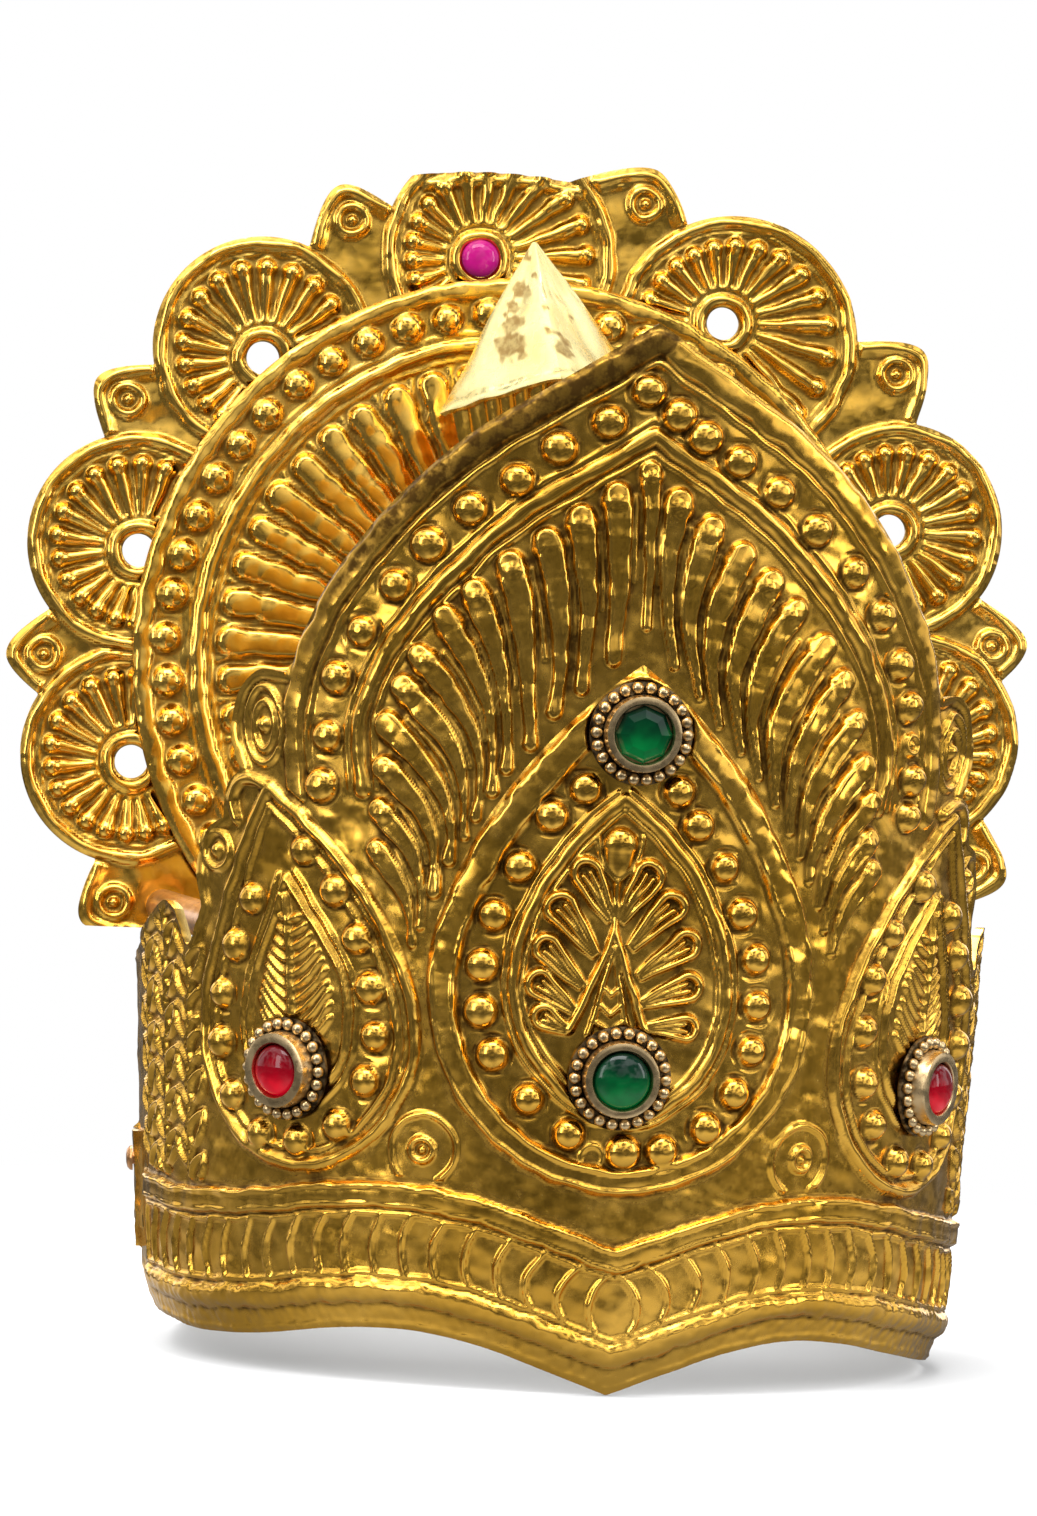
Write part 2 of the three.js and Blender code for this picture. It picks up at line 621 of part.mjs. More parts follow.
/** Reach of the scalloped edge at an angle from straight up. */
function scallopReach(degrees) {
  const petals = PETALS.map(({ angle, middle, radius, trimmed = Infinity }) => {
    const off = THREE.MathUtils.degToRad(degrees - angle);
    const across = middle * Math.sin(off);
    if (Math.cos(off) < 0 || Math.abs(across) >= radius) return 0;
    const reach = middle * Math.cos(off) + Math.sqrt(radius * radius - across * across);
    return Math.min(reach, trimmed / Math.max(0.1, Math.cos(THREE.MathUtils.degToRad(degrees))));
  });
  const lobes = LOBES.map(({ angle, reach, before = LOBE.slope }) => {
    const across = reach * THREE.MathUtils.degToRad(degrees - angle);
    return reach - (across < 0 ? before : LOBE.slope) * (Math.hypot(across, LOBE.round) - LOBE.round);
  });
  return Math.max(PLATE_BASE_RADIUS, ...petals, ...lobes);
}

/** Outline of the petal plate: the scallops, then straight edges down to the tail. */
function petalOutline() {
  const scallops = [];
  const stepDegrees = 2.5;
  const steps = Math.round(280 / stepDegrees);
  for (let i = 0; i <= steps; i += 1) {
    const degrees = 140 - stepDegrees * i;
    const point = petalPlace(degrees, scallopReach(degrees));
    if (point.y > PLATE_LOW + 1.5) scallops.push(point);
  }
  const tail = [
    [-TAIL.half, PLATE_LOW], [-TAIL.half, TAIL.low + TAIL.corner], [-TAIL.half + TAIL.corner, TAIL.low],
  ];
  const mirrored = tail.map(([x, z]) => [-x, z]).reverse();
  const lower = [[scallops.at(-1).x + 1, PLATE_LOW], ...tail, ...mirrored, [scallops[0].x - 1, PLATE_LOW]];
  return fillEdges([...scallops, ...lower.map(([x, z]) => new THREE.Vector2(x, z))], 6.5);
}

/** The scalloped back plate of the halo. */
function petalPlate() {
  const holes = PETALS.map(({ stone }) => petalPlace(...stone));
  const loops = [
    petalOutline(),
    ...holes.map((p) => holeLoop(p.x, p.y, PETAL.hole, PETAL.sides)),
    ...[-1, 1].map((side) => holeLoop(side * TAIL_RIVET.x, TAIL_RIVET.z, 1.9, 8)),
    holeLoop(POST.x, POST.z, POST.hole, 8),
  ];
  const underDisc = { x: DISC_CENTRE.x, y: DISC_CENTRE.z, radius: DISC.radius - 4 };
  const stays = [-1, 1].map((side) => ({ x: side * STAY.x, y: STAY.z, radius: STAY.radius + 3.4 }));
  const relief = new Relief(loops, { edgeClear: 1.5, pointClear: 1.2 });
  for (const { x, y } of stays) relief.addRing(x, y, STAY.radius + 1, 8, 0);
  relief.seats = [underDisc, ...stays];
  holes.forEach((hole, i) => {
    relief.addRing(hole.x, hole.y, PETAL.collar, PETAL.sides, PETAL.collarHeight);
    relief.addRing(hole.x, hole.y, PETAL.collar + 1.8, PETAL.sides, 0);
    const outward = Math.PI / 2 - THREE.MathUtils.degToRad(PETALS[i].angle);
    for (let k = 0; k < FLUTES.count; k += 1) {
      const angle = outward + FLUTES.fan * ((k + 0.5) / FLUTES.count - 0.5);
      for (const [reach, height] of FLUTES.crest) {
        relief.add(hole.x + reach * Math.cos(angle), hole.y + reach * Math.sin(angle), height);
      }
      const between = angle + FLUTES.fan / FLUTES.count / 2;
      relief.add(hole.x + FLUTES.valley * Math.cos(between), hole.y + FLUTES.valley * Math.sin(between), 0);
    }
  });
  for (const { angle, reach } of LOBES) {
    const place = petalPlace(angle, reach - LOBE.boss);
    relief.add(place.x, place.y, 1);
    relief.addRing(place.x, place.y, 3.2, 6, 0.9);
    relief.addRing(place.x, place.y, 5.4, 6, 0);
  }
  const isScallop = (x, z) => z > PLATE_LOW + 2 && Math.hypot(x - PETAL_CENTRE.x, z - PETAL_CENTRE.z) > 95;
  relief.addEdgeRows([{ inset: 1.8, height: 1.2 }, { inset: 3.6, height: 0 }], isScallop);
  relief.seats = [];
  const coarse = backGrid(loops, 24, 24, 5);
  relief.addGround(coarse, 8);
  return embossedSheet({ loops, relief: relief.points, place: onPlate(PLATE_Y), backPoints: coarse });
}

/** The ribbed round plate in front of the petal plate. */
function haloDisc() {
  const chord = Math.acos((DISC_CENTRE.z - DISC.low) / DISC.radius);
  const path = new THREE.Path();
  path.absarc(DISC_CENTRE.x, DISC_CENTRE.z, DISC.radius, -Math.PI / 2 + chord, 1.5 * Math.PI - chord, false);
  const arc = path.getSpacedPoints(DISC.edgeSteps);
  const chordRun = smoothRun([arc.at(-1), arc[0]].map((p) => [p.x, p.y]), 11);
  const loops = [joinRuns([arc, chordRun]), holeLoop(POST.x, POST.z, POST.hole, 8)];
  const relief = new Relief(loops, { edgeClear: 2, pointClear: 1.2 });
  const polar = (radius, angle) => [
    DISC_CENTRE.x + radius * Math.sin(angle),
    DISC_CENTRE.z + radius * Math.cos(angle),
  ];
  for (let i = 0; i < DISC_BOSSES.count; i += 1) {
    relief.addBoss(...polar(DISC_BOSSES.ring, (2 * Math.PI * i) / DISC_BOSSES.count), DISC_BOSSES.radius);
  }
  for (const { radius, height, steps } of DISC_ROWS) {
    for (let i = 0; i < steps; i += 1) relief.add(...polar(radius, (2 * Math.PI * i) / steps), height);
  }
  const ribMiddle = (DISC_RIBS.outer + DISC_RIBS.inner) / 2;
  for (let i = 0; i < DISC_RIBS.count; i += 1) {
    const angle = (2 * Math.PI * i) / DISC_RIBS.count;
    relief.add(...polar(DISC_RIBS.outer - 2, angle), 1.7);
    relief.add(...polar(ribMiddle, angle), 1.4);
    relief.add(...polar(DISC_RIBS.inner + 2, angle), 0.9);
    const between = angle + Math.PI / DISC_RIBS.count;
    for (const radius of [DISC_RIBS.outer - 1, ribMiddle, DISC_RIBS.inner]) {
      relief.add(...polar(radius, between), 0);
    }
  }
  const isRim = (x, z) => Math.hypot(x - DISC_CENTRE.x, z - DISC_CENTRE.z) > DISC.radius - 1;
  return embossedSheet({
    loops,
    relief: relief.points,
    place: onPlate(PLATE_Y - DISC.standOff - WALL),
    backPoints: backGrid(loops, 30, 30, 6),
    edgeLift: (x, z) => (isRim(x, z) && z > DISC.low + 1 ? DISC.rimHeight : 0),
  });
}

/** Round piece turned about its own Y axis from a profile of [radius, height] pairs. */
function turned(profile, sides) {
  return new THREE.LatheGeometry(profile.map(([r, y]) => new THREE.Vector2(r, y)), sides);
}

/** Setting with a raised rim, a cup for the stone and a post that goes through the sheet. */
function settingGeometry() {
  const { radius, cupRadius, cupFloor, height, lip, post, postLength, sides } = SETTING;
  return turned([
    [0, -postLength], [post, -postLength], [post, 0],
    [radius - 0.3, 0], [radius, 1.6], [radius - 1.4, 3], [cupRadius + lip + 0.3, 2.4],
    [cupRadius + lip, height], [cupRadius, height], [cupRadius, cupFloor], [0, cupFloor],
  ], sides);
}

/** Stone that sits in a setting's cup: a smooth dome, or a cut one with a flat table. */
function stoneGeometry(cut) {
  const { radius, girdle, rise, tableRise, tableRadius, sides } = STONE;
  const low = SETTING.cupFloor + GAP;
  const base = [[0, low], [radius, low], [radius, low + girdle]];
  const table = low + tableRise;
  const bevel = [(radius + tableRadius) / 2 + 0.3, low + tableRise * 0.75];
  const crowns = {
    table: [bevel, [tableRadius, table], [0, table]],
    cabochon: [[radius * 0.86, low + rise * 0.62], [radius * 0.5, low + rise * 0.92], [0, low + rise]],
  };
  return turned([...base, ...crowns[cut]], sides);
}

/** Distance from the finial's axis that is the same all along its four-cornered outline. */
function finialSpread(x, y) {
  return (Math.abs(x) ** FINIAL.norm + Math.abs(y) ** FINIAL.norm) ** (1 / FINIAL.norm);
}

/** Fall of the finial's lower edge towards its side corners. */
function finialFall(x) {
  return FINIAL.droop * Math.abs(x / FINIAL.corner) ** 1.6;
}

/** Point at an angle on the finial's outline, at a share of its full width. */
function finialEdge(angle, share) {
  const reach = (share * FINIAL.corner) / finialSpread(Math.cos(angle), Math.sin(angle));
  return new THREE.Vector2(reach * Math.cos(angle), reach * Math.sin(angle));
}

/** Folded pyramid whose side corners droop, open underneath, standing on z = 0. */
function finialCap() {
  const sides = 20;
  const angles = Array.from({ length: sides }, (_, i) => (2 * Math.PI * i) / sides);
  const outline = angles.map((angle) => finialEdge(angle, 1));
  const place = (x, y, height) => {
    const rise = FINIAL.rise * (1 - finialSpread(x, y) / FINIAL.corner);
    return new THREE.Vector3(x, y, rise - finialFall(x) + FINIAL.steepness * height);
  };
  const points = [[0, 0, 0]];
  for (const share of [0.35, 0.7]) {
    for (let i = 0; i < sides; i += 2) points.push([outline[i].x * share, outline[i].y * share, 0]);
  }
  return embossedSheet({ loops: [outline], relief: points, place, backPoints: points });
}

/** Fluted skirt under the pyramid, open through its middle and narrower at its foot. */
function finialNeck() {
  const star = Array.from({ length: 2 * NECK.flutes }, (_, i) => (
    finialEdge((Math.PI * i) / NECK.flutes, NECK.share - (i % 2) * NECK.flute)
  ));
  const bore = Array.from({ length: NECK.flutes }, (_, i) => (
    finialEdge((-2 * Math.PI * i) / NECK.flutes, NECK.wall)
  ));
  const shape = new THREE.Shape(star);
  shape.holes.push(new THREE.Path(bore));
  const height = NECK.top - NECK.low;
  const skirt = new THREE.ExtrudeGeometry(shape, { depth: height, bevelEnabled: false, steps: 1 });
  const place = skirt.attributes.position;
  for (let i = 0; i < place.count; i += 1) {
    const along = place.getZ(i) / height;
    const width = THREE.MathUtils.lerp(NECK.taper, 1, along);
    const fall = along * finialFall(place.getX(i));
    place.setXYZ(i, place.getX(i) * width, place.getY(i) * width, place.getZ(i) + NECK.low - fall);
  }
  return skirt;
}

/** Plain rivet along its own Y axis, with a head at each end of the grip. */
function rivetGeometry(shank, head, grip, headHeight) {
  return turned([
    [0, -headHeight], [head * 0.8, -headHeight], [head, 0], [shank, 0],
    [shank, grip], [head, grip], [head * 0.7, grip + headHeight], [0, grip + headHeight],
  ], 8);
}

const crown = new THREE.Group();

/** Adds a named piece to the crown or to a group in it. */
function addPiece(name, geometry, finish, parent = crown) {
  const material = new THREE.MeshStandardMaterial({ ...finish, flatShading: true });
  const mesh = new THREE.Mesh(geometry, material);
  mesh.name = name;
  parent.add(mesh);
  return mesh;
}

/** Group on the wall at (u, z) whose Y axis points straight out of it. */
function wallGroup(u, z, lift) {
  const group = new THREE.Group();
  const angle = u / REFERENCE_RADIUS;
  const outward = new THREE.Vector3(Math.sin(angle), -Math.cos(angle), -FLARE).normalize();
  group.position.copy(onWall(u, z, lift));
  group.quaternion.setFromUnitVectors(new THREE.Vector3(0, 1, 0), outward);
  crown.add(group);
  return group;
}

addPiece("front_sheet", frontSheet(), GOLD);
addPiece("rear_sheet", rearSheet(), GOLD);
addPiece("petal_plate", petalPlate(), BRIGHT_GOLD);
addPiece("halo_disc", haloDisc(), BRIGHT_GOLD);

for (const { name, u, z, colour, cut } of SETTINGS) {
  const seat = wallGroup(u, z, GAP);
  addPiece(`setting_${name}`, settingGeometry(), BRONZE, seat);
  addPiece(`stone_${name}`, stoneGeometry(cut), { color: colour, metalness: 0, roughness: 0.08 }, seat);
}

const pink = petalPlace(...PETALS[PINK.petal].stone);
const pinkStone = turned([
  [0, 0], [PINK.radius, 0], [PINK.radius, 0.7], [PINK.radius * 0.76, 1.9], [0, PINK.rise],
], STONE.sides);
const pinkMesh = addPiece("stone_pink", pinkStone, { color: 0xd0208c, metalness: 0, roughness: 0.1 });
pinkMesh.position.set(pink.x, PLATE_Y - PINK.lift, pink.y);
pinkMesh.rotation.x = Math.PI;

for (const [name, side] of [["left", -1], ["right", 1]]) {
  const lap = 2 * WALL + GAP;
  const sideRivet = wallGroup(side * SIDE_RIVET.u, SIDE_RIVET.z, -WALL - GAP);
  addPiece(`side_rivet_${name}`, rivetGeometry(1.3, 2.6, lap + 2 * GAP, 1.3), COPPER, sideRivet);

  const inner = BASE_RADIUS + FLARE * TAIL_RIVET.z - WALL;
  const headReach = TAIL_RIVET.x + 3;
  const insideY = Math.sqrt(inner * inner - headReach * headReach) - GAP;
  const tailRivet = rivetGeometry(1.5, 3, PLATE_Y + WALL + GAP - insideY, 1.2);
  const tailPiece = addPiece(`tail_rivet_${name}`, tailRivet, BRIGHT_GOLD);
  tailPiece.position.set(side * TAIL_RIVET.x, insideY, TAIL_RIVET.z);

  const length = PLATE_Y - GAP - STAY.front;
  const rod = turned([
    [0, 0], [STAY.stub - 0.3, 0], [STAY.stub, 0.6], [STAY.stub, STAY.stubLength],
    [STAY.radius, STAY.stubLength + 0.6], [STAY.radius, length], [0, length],
  ], STAY.sides);
  addPiece(`halo_stay_${name}`, rod, COPPER).position.set(side * STAY.x, STAY.front, STAY.z);
}

const finial = new THREE.Group();
finial.position.set(FINIAL.x, FINIAL.y, FINIAL.edge);
finial.rotation.y = THREE.MathUtils.degToRad(FINIAL.lean);
crown.add(finial);
addPiece("finial_neck", finialNeck(), GOLD, finial);
addPiece("finial_cap", finialCap(), PALE_GOLD, finial);

const postStart = FINIAL.y + FINIAL.corner * NECK.share * POST.taper + GAP;
const postGrip = PLATE_Y + WALL + GAP - postStart;
const post = turned([
  [0, 0], [POST.radius, 0], [POST.radius, postGrip], [POST.head, postGrip],
  [POST.head, postGrip + POST.headLength], [0, postGrip + POST.headLength],
], 12);
addPiece("finial_post", post, BRIGHT_GOLD).position.set(POST.x, postStart, POST.z);

crown.updateMatrixWorld(true);
const box = new THREE.Box3().setFromObject(crown);
crown.position.set(-(box.min.x + box.max.x) / 2, -(box.min.y + box.max.y) / 2, -box.min.z);

export default crown;
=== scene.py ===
"""Deity crown of embossed gilt sheet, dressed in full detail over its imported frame.

Every size below is in millimetres in the crown's own axes: the ring's axis is at
x = y = 0, the pointed front looks along -Y and the crown stands on z = 0. A place on
the ring's wall is given as (u, z), with u along the wall at its middle height.
"""

from __future__ import annotations

import logging
import math
from copy import copy
from dataclasses import dataclass, field
from enum import Enum
from typing import Callable, Iterator, Sequence

import bmesh
import bpy
import numpy as np
from mathutils import Matrix, Vector
from mathutils.kdtree import KDTree

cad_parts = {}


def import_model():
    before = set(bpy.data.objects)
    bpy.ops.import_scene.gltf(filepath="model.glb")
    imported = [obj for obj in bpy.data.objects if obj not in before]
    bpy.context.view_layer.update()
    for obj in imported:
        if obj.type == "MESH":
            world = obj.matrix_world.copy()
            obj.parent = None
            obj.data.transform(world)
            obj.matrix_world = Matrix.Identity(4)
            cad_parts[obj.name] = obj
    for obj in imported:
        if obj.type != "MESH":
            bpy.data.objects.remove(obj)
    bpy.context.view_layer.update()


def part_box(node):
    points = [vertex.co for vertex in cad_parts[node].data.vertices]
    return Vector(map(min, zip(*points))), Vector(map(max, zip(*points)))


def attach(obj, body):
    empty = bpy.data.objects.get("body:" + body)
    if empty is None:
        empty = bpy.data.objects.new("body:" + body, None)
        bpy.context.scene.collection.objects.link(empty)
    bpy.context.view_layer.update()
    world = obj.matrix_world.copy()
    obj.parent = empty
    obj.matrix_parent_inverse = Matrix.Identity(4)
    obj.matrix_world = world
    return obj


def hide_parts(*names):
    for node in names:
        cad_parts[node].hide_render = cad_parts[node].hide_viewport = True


LOG = logging.getLogger("crown")

MM = 0.001
AXIS_SHIFT = (-4.707, 2.724, 0.0)
TO_FRAME = Matrix.Scale(MM, 4) @ Matrix.Translation(AXIS_SHIFT)
TURN_BACK = Matrix.Rotation(math.radians(-90), 4, "X")
TURN_AHEAD = Matrix.Rotation(math.radians(90), 4, "X")
# Attribute of how proud or sunk a place is, which the finishes turn into painted shade and grime in the
# hollows; on a stone it carries where its painted light falls.
HOLLOW = "hollow"
BACK = "back"

Pairs = Sequence[tuple[float, float]]
Placing = Callable[[np.ndarray, np.ndarray, np.ndarray], np.ndarray]


class Profile(Enum):
    """Cross-section of a raised stroke."""

    ROUND = "half round"
    SOFT = "swell that fades out"
    FLAT = "nearly flat top with steep shoulders"
    BALL = "half of a ball"


class Blend(Enum):
    """How a stroke meets what is already embossed."""

    OVER = "the higher of the two"
    ADD = "on top"
    CUT = "sunk in"


class Cut(Enum):
    """Shape that a stone is ground to."""

    CABOCHON = "smooth dome"
    TABLE = "flat table and facets"


class Wobble:
    """Gentle, repeatable unevenness of hand work, as a sum of plane waves."""

    def __init__(self, seed: int, wavelength: float, waves: int = 20) -> None:
        """Draws the waves.

        Args:
            seed: Number that fixes the pattern.
            wavelength: Usual distance between two swells.
            waves: Number of plane waves.
        """
        dice = np.random.default_rng(seed)
        turns = dice.uniform(0.0, 2.0 * np.pi, waves)
        numbers = 2.0 * np.pi / (wavelength * dice.uniform(0.65, 1.7, waves))
        self.waves = np.stack(
            [numbers * np.cos(turns), numbers * np.sin(turns), dice.uniform(0.0, 2.0 * np.pi, waves)], axis=1
        )
        self.scale = math.sqrt(2.0 / waves)

    def __call__(self, x: np.ndarray, y: np.ndarray) -> np.ndarray:
        """Returns the unevenness at places, with a spread of about one."""
        total = np.zeros(np.broadcast(x, y).shape)
        for across, up, phase in self.waves:
            total += np.cos(across * x + up * y + phase)
        return total * self.scale


def smooth_step(low: float, high: float, values: np.ndarray) -> np.ndarray:
    """Returns 0 below low, 1 above high and a smooth change between."""
    share = np.clip((values - low) / (high - low), 0.0, 1.0)
    return share * share * (3.0 - 2.0 * share)


def resample(points: np.ndarray, step: float) -> tuple[np.ndarray, np.ndarray]:
    """Spreads points evenly along a run.

    Args:
        points: The run, n by 2.
        step: Rough distance between the new points.

    Returns:
        The new points, and each one's share of the way along.
    """
    lengths = np.hypot(*np.diff(points, axis=0).T)
    along = np.concatenate([[0.0], np.cumsum(lengths)])
    count = max(2, int(round(along[-1] / step)) + 1)
    places = np.linspace(0.0, along[-1], count)
    spread = np.stack([np.interp(places, along, points[:, k]) for k in (0, 1)], axis=1)
    return spread, places / max(along[-1], 1e-9)


def smooth_run(pairs: Pairs, step: float = 0.5) -> np.ndarray:
    """Draws an even Catmull-Rom curve through pairs.

    Args:
        pairs: Points that the curve goes through.
        step: Rough distance between the points of the result.

    Returns:
        Points along the curve, n by 2.
    """
    knots = np.array(pairs, dtype=float)
    ends = np.concatenate([knots[:1], knots, knots[-1:]])
    share = np.linspace(0.0, 1.0, 24, endpoint=False)[:, None]
    pieces = []
    for p0, p1, p2, p3 in zip(ends, ends[1:], ends[2:], ends[3:]):
        bend = (2 * p0 - 5 * p1 + 4 * p2 - p3) * share**2 + (3 * p1 - p0 - 3 * p2 + p3) * share**3
        pieces.append(0.5 * (2 * p1 + (p2 - p0) * share + bend))
    return resample(np.concatenate(pieces + [knots[-1:]]), step)[0]


def bow(start: Sequence[float], pull: Sequence[float], end: Sequence[float], count: int = 14) -> np.ndarray:
    """Returns points along a curve from start to end that leans towards pull."""
    share = np.linspace(0.0, 1.0, count)[:, None]
    a, b, c = (np.array(p, dtype=float) for p in (start, pull, end))
    return (1 - share) ** 2 * a + 2 * share * (1 - share) * b + share**2 * c


def beside(points: np.ndarray, offsets: float | Sequence[float]) -> np.ndarray:
    """Returns a run moved to its left, by one distance or by distances spread along it."""
    along = np.gradient(points, axis=0)
    along /= np.hypot(*along.T)[:, None]
    spread = np.atleast_1d(np.asarray(offsets, dtype=float))
    shift = np.interp(np.linspace(0.0, 1.0, len(points)), np.linspace(0.0, 1.0, len(spread)), spread)
    return points + shift[:, None] * np.stack([-along[:, 1], along[:, 0]], axis=1)


def ring_run(centre: Sequence[float], radius: float, squash: float = 1.0, count: int = 48) -> np.ndarray:
    """Returns a closed circle or ellipse, whose last point repeats the first."""
    turn = np.linspace(0.0, 2.0 * np.pi, count + 1)
    return np.stack([centre[0] + radius * squash * np.sin(turn), centre[1] + radius * np.cos(turn)], axis=1)


def mirrored(points: np.ndarray) -> np.ndarray:
    """Returns points on the other side of the middle, in the same order."""
    return points * np.array([-1.0, 1.0])


def inside(points: np.ndarray, loop: np.ndarray) -> np.ndarray:
    """Returns whether each point lies inside a closed loop."""
    found = np.zeros(len(points), dtype=bool)
    x, y = points[:, 0], points[:, 1]
    for (ax, ay), (bx, by) in zip(loop, np.roll(loop, -1, axis=0)):
        if ay != by:
            found ^= ((ay > y) != (by > y)) & (x < ax + (y - ay) * (bx - ax) / (by - ay))
    return found


class Relief:
    """Heights of an embossed sheet over its flat pattern."""

    HAND_STEP = 0.9
    HAND = 0.12
    SWAY_LENGTHS = (9.0, 9.0, 6.0, 2.6)
    WIDTH_SWAY = (0.05, 0.025)
    RISE_SWAY = (0.03, 0.018)

    def __init__(self, low: Sequence[float], high: Sequence[float], pitch: float, seed: int) -> None:
        """Lays out a flat pattern.

        Args:
            low: Lower left corner of the pattern.
            high: Upper right corner.
            pitch: Distance between two heights.
            seed: Number that fixes the hand's unevenness.
        """
        self.low = np.array(low, dtype=float)
        self.pitch = pitch
        columns, rows = np.ceil((np.array(high, dtype=float) - self.low) / pitch).astype(int) + 1
        self.x = self.low[0] + pitch * np.arange(columns)
        self.y = self.low[1] + pitch * np.arange(rows)
        self.height = np.zeros((rows, columns))
        self.stain = np.zeros((rows, columns))
        self.sway = tuple(Wobble(seed + k, length) for k, length in enumerate(self.SWAY_LENGTHS))

    def window(self, low: np.ndarray, high: np.ndarray) -> tuple[slice, slice]:
        """Returns the rows and columns that cover a box."""
        first = np.floor((low - self.low) / self.pitch).astype(int)
        last = np.ceil((high - self.low) / self.pitch).astype(int) + 1
        return slice(max(0, first[1]), max(0, last[1])), slice(max(0, first[0]), max(0, last[0]))

    @staticmethod
    def section(profile: Profile, share: np.ndarray) -> np.ndarray:
        """Returns a stroke's height by the share of the way from its middle to its side."""
        share = np.clip(share, 0.0, 1.0)
        if profile is Profile.ROUND:
            return (1.0 - share**2) ** 0.62
        if profile is Profile.BALL:
            return np.sqrt(1.0 - share**2)
        if profile is Profile.SOFT:
            return 0.5 + 0.5 * np.cos(np.pi * share)
        return smooth_step(0.0, 1.0, np.clip((1.0 - share) / 0.36, 0.0, 1.0)) * (1.0 - 0.24 * share**2)

    def merge(self, rows: slice, columns: slice, layer: np.ndarray, blend: Blend) -> None:
        """Joins a raised layer to the heights of a window."""
        ground = self.height[rows, columns]
        if blend is Blend.OVER:
            np.maximum(ground, layer, out=ground)
        elif blend is Blend.ADD:
            ground += layer
        else:
            ground -= layer

    def stroke(
        self,
        points: np.ndarray,
        half: float | Sequence[float],
        rise: float | Sequence[float],
        profile: Profile = Profile.ROUND,
        blend: Blend = Blend.OVER,
    ) -> None:
        """Raises a line with round ends, a little uneven as by hand.

        Args:
            points: The line's run.
            half: Half its width, or values spread along it.
            rise: Its height, or values spread along it.
            profile: Its cross-section.
            blend: How it meets what is there.
        """
        path, share = resample(np.asarray(points, dtype=float), self.HAND_STEP)
        x, y = path.T.copy()
        path = path + self.HAND * np.stack([self.sway[0](x, y), self.sway[1](x, y)], axis=1)
        spread = [np.atleast_1d(np.asarray(value, dtype=float)) for value in (half, rise)]
        halves, rises = (np.interp(share, np.linspace(0.0, 1.0, len(v)), v) for v in spread)
        share, extra = self.WIDTH_SWAY
        halves = halves * (1.0 + share * self.sway[2](x, y)) + extra * self.sway[3](x, y)
        share, extra = self.RISE_SWAY
        rises = rises * (1.0 + share * self.sway[2](y, x)) + extra * self.sway[3](y, x)
        reach = halves.max()
        rows, columns = self.window(path.min(axis=0) - reach, path.max(axis=0) + reach)
        layer = np.zeros_like(self.height[rows, columns])
        for k in range(len(path) - 1):
            ends, widths = path[k : k + 2], halves[k : k + 2]
            wide = widths.max()
            near_rows, near_columns = self.window(ends.min(axis=0) - wide, ends.max(axis=0) + wide)
            xs, ys = self.x[None, near_columns], self.y[near_rows, None]
            along = ends[1] - ends[0]
            part = ((xs - ends[0, 0]) * along[0] + (ys - ends[0, 1]) * along[1]) / max(along @ along, 1e-9)
            part = np.clip(part, 0.0, 1.0)
            away = np.hypot(xs - ends[0, 0] - part * along[0], ys - ends[0, 1] - part * along[1])
            width = widths[0] + part * (widths[1] - widths[0])
            lift = (rises[k] + part * (rises[k + 1] - rises[k])) * self.section(profile, away / width)
            view = layer[
                near_rows.start - rows.start : near_rows.stop - rows.start,
                near_columns.start - columns.start : near_columns.stop - columns.start,
            ]
            np.maximum(view, lift[: view.shape[0], : view.shape[1]], out=view)
        self.merge(rows, columns, layer, blend)

    def dome(
        self, centre: Sequence[float], radius: float, rise: float, profile: Profile = Profile.ROUND,
        blend: Blend = Blend.OVER,
    ) -> None:
        """Raises or sinks a round boss.

        Args:
            centre: Its middle.
            radius: Its radius.
            rise: Its height.
            profile: Its cross-section.
            blend: How it meets what is there.
        """
        middle = np.array(centre, dtype=float)
        rows, columns = self.window(middle - radius, middle + radius)
        away = np.hypot(self.x[None, columns] - middle[0], self.y[rows, None] - middle[1])
        self.merge(rows, columns, rise * self.section(profile, away / radius), blend)

    def bead(self, centre: Sequence[float], radius: float, rise: float) -> None:
        """Raises a bead in a tooled ring, with a punch mark on its top."""
        x, y = (np.array([value]) for value in centre)
        drift = self.HAND * 1.3 * np.array([self.sway[0](x, y)[0], self.sway[1](x, y)[0]])
        middle = np.array(centre, dtype=float) + drift
        size = 1.0 + 0.05 * self.sway[2](x, y)[0]
        self.stroke(ring_run(middle, radius + 0.45), 0.75, 0.3, Profile.SOFT, Blend.CUT)
        self.dome(middle, radius * size, rise * size, Profile.BALL)
        self.dome(middle + 0.25, 0.7, 0.12, Profile.SOFT, Blend.CUT)

    def ring_boss(self, centre: Sequence[float], radius: float, rise: float, circle: float = 0.0) -> None:
        """Raises a small ring with a dot in it, and a fine circle round it where one is given."""
        self.stroke(ring_run(centre, radius), max(0.7, radius * 0.3), rise)
        self.dome(centre, max(0.9, radius * 0.36), rise)
        if circle:
            self.stroke(ring_run(centre, circle), 0.62, 0.7 * rise)

    def clear(self, loop: np.ndarray) -> None:
        """Levels the pattern inside a closed loop."""
        rows, columns = self.window(loop.min(axis=0), loop.max(axis=0))
        xs, ys = np.meshgrid(self.x[columns], self.y[rows])
        mask = inside(np.stack([xs.ravel(), ys.ravel()], axis=1), loop).reshape(xs.shape)
        self.height[rows, columns][mask] = 0.0

    def seat(self, centre: Sequence[float], radius: float, fade: float = 2.0) -> None:
        """Smooths the pattern down to the plain sheet under a piece that sits on it."""
        away = np.hypot(self.x[None, :] - centre[0], self.y[:, None] - centre[1])
        self.height *= smooth_step(radius, radius + fade, away)

